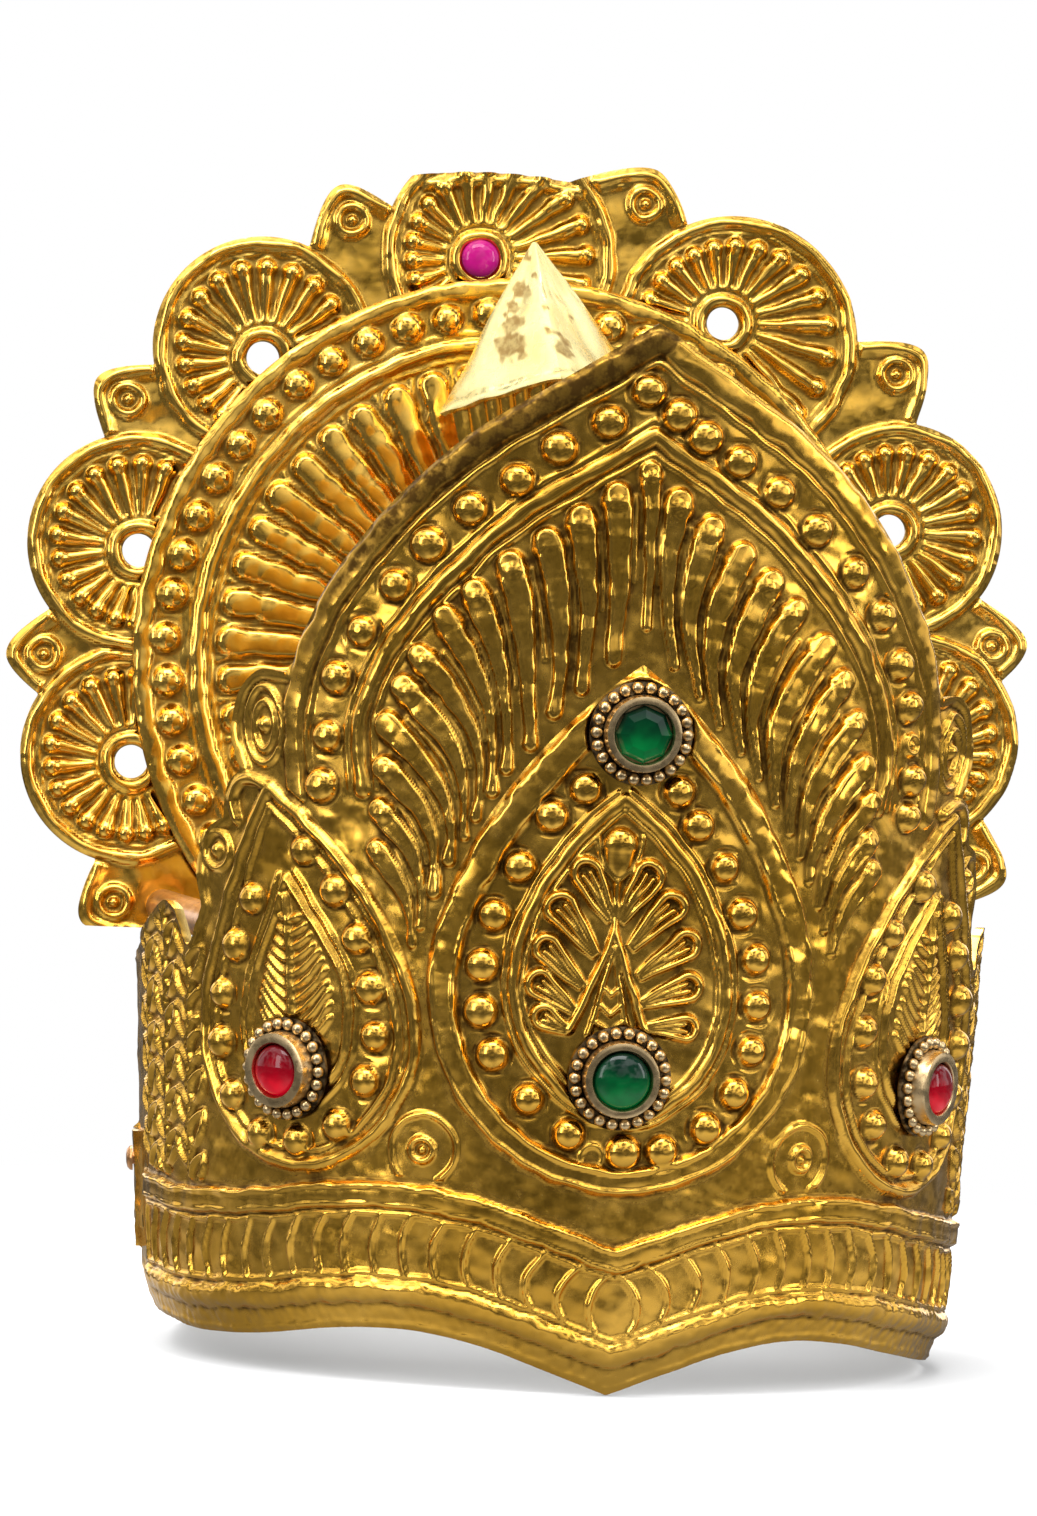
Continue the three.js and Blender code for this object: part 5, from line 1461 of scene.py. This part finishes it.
@dataclass
class Halo:
    """Scalloped petal plate, the ribbed disc in front of it, their rivets and stays."""

    plate_y: float = 87.9
    centre: tuple[float, float] = (3.5, 143.0)
    petals: tuple[Petal, ...] = (
        Petal(-104, 89.1, 24.4, (-105, 89.2)),
        Petal(-73.5, 90.4, 24.4, (-74.5, 89.5)),
        Petal(-40.5, 92.5, 24.8, (-41.5, 90.8)),
        Petal(-4.7, 93.8, 26.6, (-7.5, 93.4), trimmed=112),
        Petal(31.3, 90, 28.4, (28.5, 92)),
        Petal(67.3, 93.2, 24.5, (67, 91.5)),
        Petal(97, 92.3, 24.4, (99.5, 92)),
    )
    lobes: tuple[Lobe, ...] = (
        Lobe(-121.5, 112.6), Lobe(-90, 114.8), Lobe(-57.5, 115), Lobe(-22.5, 116.3),
        Lobe(13.2, 118, before=0.45), Lobe(49.8, 118.8), Lobe(84.5, 117.8), Lobe(110.5, 122),
    )
    hole: float = 3.7
    lobe_boss: float = 8.3
    base_radius: float = 93.0
    low: float = 83.0
    tail: tuple[float, float, float] = (30.0, 57.0, 8.0)
    disc_centre: tuple[float, float] = (2.5, 145.5)
    disc_radius: float = 86.0
    disc_low: float = 83.5
    disc_y: float = 85.1
    hidden: float = 79.0
    flutes: int = 22
    beads: int = 53
    bead_ring: float = 78.4
    disc_rings: Sequence[tuple[float, float, float]] = ((74.3, 0.6, 0.6), (71.5, 1.8, 1.4), (68.8, 0.6, 0.6))
    ribs: int = 47
    stay: tuple[float, float, float] = (74.4, 88.0, -36.0)
    pink_petal: int = 3
    pink_profile: Pairs = (
        (0, 0), (4.0, 0), (4.2, 0.2), (4.2, 0.7), (3.95, 1.25), (3.3, 1.85), (2.3, 2.28), (1.2, 2.45),
        (0, 2.5),
    )

    def spot(self, degrees: float, reach: float) -> np.ndarray:
        """Returns the place at an angle from straight up and a distance from the plate's centre."""
        angle = math.radians(degrees)
        return np.array(self.centre) + reach * np.array([math.sin(angle), math.cos(angle)])

    def scallop(self, degrees: np.ndarray) -> np.ndarray:
        """Returns the reach of the scalloped edge at angles from straight up."""
        reach = np.full(degrees.shape, self.base_radius)
        upward = np.clip(np.cos(np.radians(degrees)), 0.1, None)
        for petal in self.petals:
            off = np.radians(degrees - petal.angle)
            across = petal.middle * np.sin(off)
            far = petal.middle * np.cos(off) + np.sqrt(np.clip(petal.radius**2 - across**2, 0.0, None))
            hit = (np.cos(off) > 0) & (np.abs(across) < petal.radius)
            top = (petal.trimmed - petal.sag * across**2) / upward
            reach = np.where(hit, np.maximum(reach, np.minimum(far, top)), reach)
        return np.maximum.reduce([reach, *(lobe.edge(degrees) for lobe in self.lobes)])

    def scallop_run(self) -> np.ndarray:
        """Returns the scalloped edge from its right foot over the top to its left foot."""
        degrees = np.linspace(140.0, -140.0, 1401)
        reach = self.scallop(degrees)
        turn = np.radians(degrees)
        run = np.array(self.centre) + reach[:, None] * np.stack([np.sin(turn), np.cos(turn)], axis=1)
        return run[run[:, 1] > self.low]

    def hidden_run(self) -> np.ndarray:
        """Returns the joint behind the disc, from its left foot over the top to its right foot."""
        foot = math.acos((self.low - self.disc_centre[1]) / self.hidden)
        turn = np.linspace(-foot, foot, 240)
        return np.array(self.disc_centre) + self.hidden * np.stack([np.sin(turn), np.cos(turn)], axis=1)

    def emboss_lobe(self, relief: Relief, lobe: Lobe) -> None:
        """Raises a lobe's border and its ring boss."""
        degrees = np.linspace(lobe.angle - 9.0, lobe.angle + 9.0, 40)
        for inset, half, rise in ((1.9, 1.35, 1.3), (4.3, 0.55, 0.55)):
            reaches = lobe.edge(degrees) - inset
            run = np.array([self.spot(turn, reach) for turn, reach in zip(degrees, reaches)])
            relief.stroke(run, half, rise)
        relief.ring_boss(self.spot(lobe.angle, lobe.reach - self.lobe_boss), 3.3, 1.4)

    def emboss_petal(self, relief: Relief, petal: Petal) -> None:
        """Raises a petal's border, fluted fan and the collar round its stone hole."""
        middle, eye = self.spot(petal.angle, petal.middle), self.spot(*petal.eye)
        relief.clear(ring_run(middle, petal.radius + 0.4))
        relief.stroke(ring_run(middle, petal.radius - 1.6), 1.5, 1.5)
        relief.stroke(ring_run(middle, petal.radius - 3.9), 0.6, 0.6)
        off = eye - middle
        for k in range(self.flutes):
            turn = math.radians(petal.angle) + 2.0 * math.pi * (k + 0.5) / self.flutes
            way = np.array([math.sin(turn), math.cos(turn)])
            ahead = -(way @ off) + math.sqrt((way @ off) ** 2 - off @ off + (petal.radius - 6.9) ** 2)
            run = np.array([eye + way * 8.6, eye + way * ahead])
            relief.stroke(run, [0.85, 1.1, 1.45, 1.8, 2.0], [0.9, 1.2, 1.5, 1.8, 1.9])
            relief.dome(run[-1], 2.3, 2.5)
        relief.stroke(ring_run(eye, 5.4), 1.6, 1.7)
        relief.stroke(ring_run(eye, 7.9), 0.6, 0.7)
        if math.isfinite(petal.trimmed):
            top = self.centre[1] + petal.trimmed - 1.6
            aside = np.linspace(-17.0, 17.0, 12)
            relief.stroke(np.stack([middle[0] + aside, top - petal.sag * aside**2], axis=1), 1.5, 1.5)

    def emboss_petals(self) -> Relief:
        """Returns the pattern of the petal plate."""
        relief = Relief((-125, 52), (130, 268), 0.35, seed=61)
        for lobe in self.lobes:
            self.emboss_lobe(relief, lobe)
        for petal in self.petals:
            self.emboss_petal(relief, petal)
        relief.beat(71, 0.01, 0.025, 0.12)
        away = np.hypot(relief.x[None, :] - self.disc_centre[0], relief.y[:, None] - self.disc_centre[1])
        relief.height *= smooth_step(self.disc_radius - 5.5, self.disc_radius - 2.5, away)
        for hand in (-1.0, 1.0):
            relief.seat((hand * self.stay[0], self.stay[1]), 4.8)
        return relief

    def emboss_disc(self) -> Relief:
        """Returns the pattern of the disc."""
        relief = Relief((-86, 81), (91, 234), 0.35, seed=81)
        middle = np.array(self.disc_centre)
        relief.stroke(ring_run(middle, 83.7, count=160), 2.4, 1.3, Profile.FLAT)
        for k in range(self.beads):
            turn = 2.0 * math.pi * k / self.beads
            relief.bead(middle + self.bead_ring * np.array([math.sin(turn), math.cos(turn)]), 3.55, 2.9)
        for radius, half, rise in self.disc_rings:
            relief.stroke(ring_run(middle, radius, count=160), half, rise)
        for k in range(self.ribs):
            turn = 2.0 * math.pi * (k + 0.5) / self.ribs
            way = np.array([math.sin(turn), math.cos(turn)])
            run = np.array([middle + 64.2 * way, middle + 38.0 * way])
            relief.stroke(run, [3.75, 3.4, 2.3], [2.4, 2.2, 1.4], Profile.FLAT)
            turn += math.pi / self.ribs
            way = np.array([math.sin(turn), math.cos(turn)])
            relief.stroke(np.array([middle + 67.0 * way, middle + 57.0 * way]), 0.5, 0.8)
        relief.stroke(ring_run(middle, 33.5, count=120), 1.4, 1.0)
        relief.beat(91, 0.01, 0.035, 0.1)
        return relief

    def build(self, shop: Workshop) -> None:
        """Builds the plates, then what holds them.

        Args:
            shop: The workshop that makes the pieces.
        """
        relief = self.emboss_petals()
        scallops, joint = self.scallop_run(), self.hidden_run()
        holes = [ring_run(self.spot(*petal.eye), self.hole)[:-1] for petal in self.petals]

        def on_plate(x: np.ndarray, z: np.ndarray, height: np.ndarray) -> np.ndarray:
            """Returns points of the petal plate."""
            return np.stack([x, self.plate_y - height, z], axis=1)

        def on_disc(x: np.ndarray, z: np.ndarray, height: np.ndarray) -> np.ndarray:
            """Returns points of the disc."""
            return np.stack([x, self.disc_y - height, z], axis=1)

        nodes = ["petal_plate"]
        ring = np.concatenate([scallops, joint])
        shop.sheet("halo_petals", [ring, *holes], relief, on_plate, HALO_GILT, nodes, 0.54)
        half, low, corner = self.tail
        tail = np.array([(-half, self.low), (-half, low + corner), (-half + corner, low)])
        backing = np.concatenate([joint[::-1], tail, mirrored(tail)[::-1]])
        shop.sheet("halo_backing", [backing], relief, on_plate, HALO_GILT, nodes, 1.7)
        chord = math.acos((self.disc_low - self.disc_centre[1]) / self.disc_radius)
        turn = np.linspace(chord, -chord, 500)
        rim = np.array(self.disc_centre) + self.disc_radius * np.stack([np.sin(turn), np.cos(turn)], axis=1)
        shop.sheet("halo_ribbed_disc", [rim], self.emboss_disc(), on_disc, HALO_GILT, ["halo_disc"], 0.62)
        self.build_fixings(shop)

    def build_fixings(self, shop: Workshop) -> None:
        """Builds the stays, the tail rivets and the one stone left in the petals.

        Args:
            shop: The workshop that makes the pieces.
        """
        x, z, front = self.stay
        length = self.plate_y - 0.3 - front
        for name, hand in (("left", -1.0), ("right", 1.0)):
            rod = turned([
                (0, 0), (1.6, 0.0), (2.1, 0.25), (2.3, 0.8), (2.3, 2.2), (2.05, 2.45), (2.3, 2.7), (2.3, 3.3),
                (3.3, 3.5), (3.7, 3.8), (3.8, 4.3), (3.8, 9.0), (3.55, 9.3), (3.8, 9.6), (3.8, length - 6),
                (3.8, length - 0.6), (3.5, length), (0, length),
            ], 40)
            place = Matrix.Translation((hand * x, front, z)) @ TURN_BACK
            shop.solid(f"stay_rod_{name}", rod, COPPER, [f"halo_stay_{name}"], place)
            low, high = packed_box(f"tail_rivet_{name}")
            grip = high.y - low.y - 2.4
            rivet = turned([
                (0, -1.2), (1.9, -1.1), (2.7, -0.6), (3, 0), (1.5, 0.02), (1.5, grip - 0.02), (3, grip),
                (2.8, grip + 0.6), (1.8, grip + 1.1), (0, grip + 1.2),
            ], 28)
            place = Matrix.Translation(((low.x + high.x) / 2, low.y + 1.2, (low.z + high.z) / 2)) @ TURN_BACK
            shop.solid(f"back_rivet_{name}", rivet, HALO_GILT, [f"tail_rivet_{name}"], place)
        spot = self.spot(*self.petals[self.pink_petal].eye)
        place = Matrix.Translation((spot[0], self.plate_y - 0.7, spot[1])) @ TURN_AHEAD
        shop.solid("pink_cabochon", turned(self.pink_profile, 40), PINK_STONE, ["stone_pink"], place)


@dataclass
class Setting:
    """Antique beaded setting with its stone."""

    name: str
    u: float
    z: float
    finish: StoneFinish
    cut: Cut
    stone: float = 5.6
    granules: int = 22
    granule: tuple[float, float, float] = (1.2, 8.95, 1.7)

    def build(self, shop: Workshop, front: FrontSheet) -> None:
        """Builds the setting and its stone on the wall.

        Args:
            shop: The workshop that makes the pieces.
            front: The sheet that carries it.
        """
        place = front.standing(self.u, self.z, 0.3)
        dish = turned([
            (0, -2.4), (1.4, -2.4), (1.4, 0), (9.9, 0), (10.2, 0.4), (10.1, 0.9), (9.5, 1.15), (7.9, 1.2),
            (7.65, 1.5), (7.45, 4.3), (7.3, 4.8), (6.7, 5.0), (self.stone + 0.4, 4.9),
            (self.stone + 0.12, 4.5), (self.stone + 0.12, 2.0), (0, 2.0),
        ], 72)
        radius, ring, rise = self.granule
        for k in range(self.granules):
            turn = 2.0 * math.pi * k / self.granules
            spot = Matrix.Translation((ring * math.cos(turn), ring * math.sin(turn), rise))
            bmesh.ops.create_uvsphere(dish, u_segments=14, v_segments=9, radius=radius, matrix=spot)

        def hollow(spot: Vector) -> float:
            """Returns -1 on the dark dish and up to 1 on the rubbed rim and granule tops."""
            return min(1.0, max(-1.0, (spot.z - 1.9) / 0.6))

        shop.solid(f"bezel_{self.name}", dish, BRONZE, [f"setting_{self.name}"], place, hollow=hollow)
        node, size = [f"stone_{self.name}"], self.stone

        # Painted light on the stone: this share makes its lower side lighter and glowing.
        def lower(spot: Vector) -> float:
            """Returns 1 at the stone's lower side and -1 at its upper side."""
            return -spot.y / size

        if self.cut is Cut.CABOCHON:
            dome = [(size * math.cos(a), 3.6 + 2.7 * math.sin(a)) for a in np.linspace(0, math.pi / 2, 9)]
            stone = turned([(0, 2.3), (size, 2.3), *dome[:-1], (0, 6.3)], 56)
            shop.solid(f"gem_{self.name}", stone, self.finish, node, place, hollow=lower)
        else:
            rims = [(size, 2.3), (size, 3.9), (0.86 * size, 4.75), (0.58 * size, 5.3)]
            stone = turned([(0, 2.3), *rims, (0, 5.3)], 8)
            shop.solid(f"gem_{self.name}", stone, self.finish, node, place, crease=5.0, hollow=lower)


@dataclass
class Finial:
    """Pale folded pyramid on its fluted skirt, with the post that carries it."""

    x: float = 2.0
    y: float = 57.0
    edge: float = 206.0
    rise: float = 32.0
    corner: float = 23.5
    norm: float = 1.1
    droop: float = 5.5
    lean: float = -6.0
    wall: float = 1.19
    flutes: int = 24
    skirt: tuple[float, float, float] = (0.88, 0.05, 0.8)
    skirt_wall: float = 0.9
    skirt_ends: tuple[float, float] = (-34.0, 0.5)
    post: tuple[float, float, float] = (4.0, 188.0, 2.6)
    stains: Sequence[tuple[float, float, float]] = (
        (-4.3, 20.7, 1.9), (-6.2, 16.9, 1.2), (-6.9, 13.6, 1.9), (-8.4, 8.5, 2.7), (2.3, 7.0, 2.2),
        (-1.9, 28.2, 0.9), (-0.4, 10.9, 0.9), (-1.2, 23.8, 0.7), (-0.4, 16.3, 0.7), (6.0, 14.0, 0.7),
    )

    def reach(self, angle: float) -> float:
        """Returns the outline's distance from the axis at an angle."""
        spread = abs(math.cos(angle)) ** self.norm + abs(math.sin(angle)) ** self.norm
        return self.corner / spread ** (1.0 / self.norm)

    def fall(self, x: float) -> float:
        """Returns how far the lower edge droops towards the side corners."""
        return self.droop * abs(x / self.corner) ** 1.6

    def place(self) -> Matrix:
        """Returns the finial's place, which leans to one side."""
        lean = Matrix.Rotation(math.radians(self.lean), 4, "Y")
        return Matrix.Translation((self.x, self.y, self.edge)) @ lean

    def build(self, shop: Workshop) -> None:
        """Builds the pyramid, its skirt and its post.

        Args:
            shop: The workshop that makes the pieces.
        """
        self.build_cap(shop)
        self.build_skirt(shop)
        x, z, radius = self.post
        low, high = packed_box("finial_post")
        grip = high.y - low.y - 1.6
        bar = turned([
            (0, 0), (radius, 0), (radius, grip), (4.4, grip + 0.05), (4.6, grip + 0.4), (4.3, grip + 1.2),
            (3.4, grip + 1.6), (0, grip + 1.6),
        ], 32)
        place = Matrix.Translation((x, low.y, z)) @ TURN_BACK
        shop.solid("finial_bar", bar, HALO_GILT, ["finial_post"], place)

    def build_cap(self, shop: Workshop) -> None:
        """Builds the pyramid with its sharp folds, soft creases and rolled lip.

        Args:
            shop: The workshop that makes the pieces.
        """
        cap = open_cone(96, 0.02, 30)
        top = [edge for edge in cap.edges if all(vert.co.z > 0.499 for vert in edge.verts)]
        bmesh.ops.holes_fill(cap, edges=top, sides=0)
        dents = Wobble(131, 11.0)
        for vert in cap.verts:
            share, angle = math.hypot(vert.co.x, vert.co.y), math.atan2(vert.co.y, vert.co.x)
            reach = share * self.reach(angle)
            x, y = reach * math.cos(angle), reach * math.sin(angle)
            z = self.rise * (1.0 - share) - self.fall(x)
            sag = 1.3 * math.sin(math.pi * min(1.0, share)) * math.sin(2.0 * angle) ** 2
            dent = 0.22 * dents(np.array([x]), np.array([y]))[0] * min(1.0, 2.0 * share)
            crease = 0.55 * math.exp(-(((x - y - 8.0) / 2.0) ** 2)) * (1.0 if x > 0 > y else 0.0)
            lip = 0.55 * math.exp(-(((share - 0.975) / 0.02) ** 2))
            vert.co = (x, y, z - sag + dent - crease + lip)
        bmesh.ops.recalc_face_normals(cap, faces=cap.faces[:])
        if sum(face.normal.z for face in cap.faces) < 0:
            bmesh.ops.reverse_faces(cap, faces=cap.faces[:])
        bmesh.ops.solidify(cap, geom=cap.faces[:], thickness=self.wall)
        ragged = Wobble(137, 2.4)

        def worn(spot: Vector) -> float:
            """Returns how proud the gilding stands, less than 0 in the brown patches."""
            edge = 0.22 * ragged(np.array([spot.x]), np.array([spot.z]))[0]
            nearest = min(math.hypot(spot.x - x, (spot.z - z) * 0.8) / size for x, z, size in self.stains)
            patch = 1.15 + edge - nearest
            return -0.7 * min(1.0, max(0.0, 2.5 * patch)) if spot.y < 0 else 0.0

        shop.solid("finial_pyramid", cap, PALE_GILT, ["finial_cap"], self.place(), crease=34.0, hollow=worn)

    def build_skirt(self, shop: Workshop) -> None:
        """Builds the fluted skirt under the pyramid.

        Args:
            shop: The workshop that makes the pieces.
        """
        share, flute, taper = self.skirt
        low, top = self.skirt_ends
        skirt = open_cone(self.flutes * 10, 1.0, 16)
        for vert in skirt.verts:
            angle, along = math.atan2(vert.co.y, vert.co.x), vert.co.z + 0.5
            cove = flute * (1.0 - abs(math.cos(0.5 * self.flutes * angle)) ** 0.7)
            width = (share - cove) * (taper + (1.0 - taper) * along)
            reach = self.reach(angle)
            x, y = width * reach * math.cos(angle), width * reach * math.sin(angle)
            fall = along * self.fall(x / (taper + (1.0 - taper) * along))
            vert.co = (x, y, low + (top - low) * along - fall)
        bmesh.ops.recalc_face_normals(skirt, faces=skirt.faces[:])
        if sum(face.normal.dot(face.calc_center_median() * Vector((1, 1, 0))) for face in skirt.faces) < 0:
            bmesh.ops.reverse_faces(skirt, faces=skirt.faces[:])
        bmesh.ops.solidify(skirt, geom=skirt.faces[:], thickness=self.skirt_wall)
        shop.solid("finial_skirt", skirt, SHEET_GILT, ["finial_neck"], self.place(), crease=50.0)


@dataclass(frozen=True)
class Studio:
    """Camera, floor and soft light at the photograph's angle."""

    azimuth: float = -9.0
    roll: float = 2.2
    distance: float = 1200.0
    camera_z: float = 124.0
    aside: float = -9.32
    lens: float = 136.0
    floor_levels: Pairs = (
        (0.08, 0.22), (0.1, 0.4), (0.15, 0.55), (0.2, 0.32), (0.27, 0.18), (0.5, 0.14), (1.0, 0.12),
    )
    sky_levels: Pairs = ((0.0, 0.1), (0.46, 0.14), (0.53, 0.2), (0.62, 0.36), (0.76, 0.62), (1.0, 0.75))
    flank_levels: Pairs = (
        (0.0, 0.8), (0.3, 0.42), (0.5, 0.2), (0.66, 0.26), (0.78, 0.5), (0.88, 0.56), (0.955, 0.18),
        (1.0, 0.0),
    )

    def build(self) -> None:
        """Sets up the camera, the floor, the lamps and the surroundings."""
        self.build_camera()
        self.build_floor()
        self.build_lamps()
        self.build_surroundings()
        bpy.context.scene.view_settings.view_transform = "Standard"
        bpy.context.scene.cycles.caustics_reflective = False

    def build_camera(self) -> None:
        """Places the camera level and turns it about its own view to match the photograph's tilt."""
        turn, roll = math.radians(self.azimuth), math.radians(self.roll)
        right = Vector((math.cos(turn), math.sin(turn), 0.0))
        look = Vector((-math.sin(turn), math.cos(turn), 0.0))
        up = Vector((0.0, 0.0, 1.0))
        eye = Vector(AXIS_SHIFT) - look * self.distance + up * self.camera_z + right * self.aside
        across = right * math.cos(roll) + up * math.sin(roll)
        upright = up * math.cos(roll) - right * math.sin(roll)
        camera = bpy.data.cameras.new("camera")
        camera.lens, camera.sensor_fit, camera.sensor_height = self.lens, "VERTICAL", 36.0
        camera.clip_start, camera.clip_end = 0.05, 20.0
        thing = stand("camera", camera)
        turned_view = Matrix((across, upright, -look)).transposed().to_4x4()
        thing.matrix_world = Matrix.Translation(eye * MM) @ turned_view
        bpy.context.scene.camera = thing

    def build_floor(self) -> None:
        """Lays a wide floor that the camera sees white and the metal mirrors in grey rings."""
        floor = bmesh.new()
        bmesh.ops.create_circle(floor, cap_ends=True, radius=6.0, segments=64)
        mesh = bpy.data.meshes.new("floor")
        floor.to_mesh(mesh)
        floor.free()
        thing = stand("floor", mesh)
        material = bpy.data.materials.new("floor_white")
        material.use_nodes = True
        wiring = Wiring(material.node_tree)
        seen = wiring.node("ShaderNodeLightPath").outputs["Is Camera Ray"]
        place = wiring.node("ShaderNodeTexCoord").outputs["Object"]
        away = wiring.node("ShaderNodeVectorMath", {0: place}, operation="LENGTH").outputs["Value"]
        white = wiring.node("ShaderNodeBsdfDiffuse", {"Color": (0.93, 0.93, 0.93, 1.0)})
        backdrop = wiring.node("ShaderNodeEmission", {"Color": (1.0, 1.0, 1.0, 1.0), "Strength": 1.0})
        far = wiring.ranged(away, 0.2, 0.5, 0.12, 1.0)
        shown = wiring.node("ShaderNodeMixShader", {0: far, 1: white.outputs[0], 2: backdrop.outputs[0]})
        level = wiring.ramp(away, self.floor_levels)
        patches = wiring.ranged(wiring.noise(place, 5.0, 1.0), 0.4, 0.6, 0.6, 1.5)
        glow = wiring.node("ShaderNodeEmission", {"Color": level, "Strength": patches})
        shader = wiring.node("ShaderNodeMixShader", {0: seen, 1: glow.outputs[0], 2: shown.outputs[0]})
        wiring.node("ShaderNodeOutputMaterial", {"Surface": shader.outputs[0]})
        mesh.materials.append(material)

    @staticmethod
    def build_lamps() -> None:
        """Hangs the soft boxes."""
        boxes = (
            ("overhead", (-0.15, -0.6, 1.25), (0.0, 0.0, 0.1), 1.0, 0.5, 10.0),
            ("left", (-1.3, -0.85, 0.55), (0.0, 0.0, 0.12), 0.4, 1.0, 6.0),
            ("right", (1.3, -0.7, 0.55), (0.0, 0.0, 0.12), 0.3, 1.0, 3.6),
            ("behind", (-0.1, 0.8, 1.1), (0.0, -0.08, 0.15), 1.2, 0.5, 13.0),
            ("left_card", (-1.1, 0.2, 1.2), (0.0, 0.05, 0.22), 0.6, 0.6, 1.3),
            ("right_card", (1.2, 0.55, 0.9), (0.0, 0.05, 0.22), 0.6, 0.6, 0.9),
        )
        for name, spot, aim, width, height, power in boxes:
            lamp = bpy.data.lights.new(name, "AREA")
            lamp.shape, lamp.size, lamp.size_y, lamp.energy = "RECTANGLE", width, height, power
            thing = stand(name, lamp)
            thing.location = spot
            thing.rotation_mode = "QUATERNION"
            thing.rotation_quaternion = (Vector(aim) - Vector(spot)).to_track_quat("-Z", "Y")

    def build_surroundings(self) -> None:
        """Surrounds the crown with a studio that is dim in front and bright above and at the sides."""
        world = bpy.data.worlds.new("studio")
        bpy.context.scene.world = world
        world.use_nodes = True
        wiring = Wiring(world.node_tree)
        way = wiring.node("ShaderNodeTexCoord").outputs["Generated"]
        parts = wiring.node("ShaderNodeSeparateXYZ", {0: way})
        height = wiring.node("ShaderNodeMapRange", {0: parts.outputs["Z"], 1: -1.0, 2: 1.0}).outputs[0]
        level = wiring.ramp(height, self.sky_levels)
        turn = math.radians(self.azimuth)
        ahead = (math.sin(turn), -math.cos(turn), 0.0)
        front = wiring.node("ShaderNodeVectorMath", {0: way, 1: ahead}, operation="DOT_PRODUCT")
        aside = wiring.node("ShaderNodeMapRange", {0: front.outputs["Value"], 1: -1.0, 2: 1.0}).outputs[0]
        flanks = wiring.ramp(aside, self.flank_levels)
        patches = wiring.ranged(wiring.noise(way, 3.4, 1.0), 0.38, 0.62, 0.24, 1.95)
        level = wiring.math("MULTIPLY", wiring.math("ADD", level, flanks), patches)
        seen = wiring.node("ShaderNodeLightPath").outputs["Is Camera Ray"]
        colour = wiring.mix(seen, level, (1.0, 1.0, 1.0, 1.0))
        surround = wiring.node("ShaderNodeBackground", {"Color": colour, "Strength": 1.0})
        wiring.node("ShaderNodeOutputWorld", {"Surface": surround.outputs[0]})


def settings() -> Iterator[Setting]:
    """Yields the four settings with their stones."""
    yield Setting("green_upper", 0.0, 129.7, GREEN_STONE, Cut.TABLE)
    yield Setting("green_lower", -1.0, 62.5, GREEN_STONE, Cut.CABOCHON)
    yield Setting("red_left", -70.8, 61.0, RED_STONE, Cut.CABOCHON, 5.1)
    yield Setting("red_right", 76.5, 61.0, RED_STONE, Cut.CABOCHON, 5.1)


def main() -> None:
    """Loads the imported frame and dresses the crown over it."""
    logging.basicConfig(level=logging.INFO, format="%(name)s %(message)s")
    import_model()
    Studio().build()
    shop = Workshop()
    front = FrontSheet()
    front.build(shop)
    RearSheet(front).build(shop)
    Halo().build(shop)
    for setting in settings():
        setting.build(shop, front)
    Finial().build(shop)


if __name__ == "__main__":
    main()
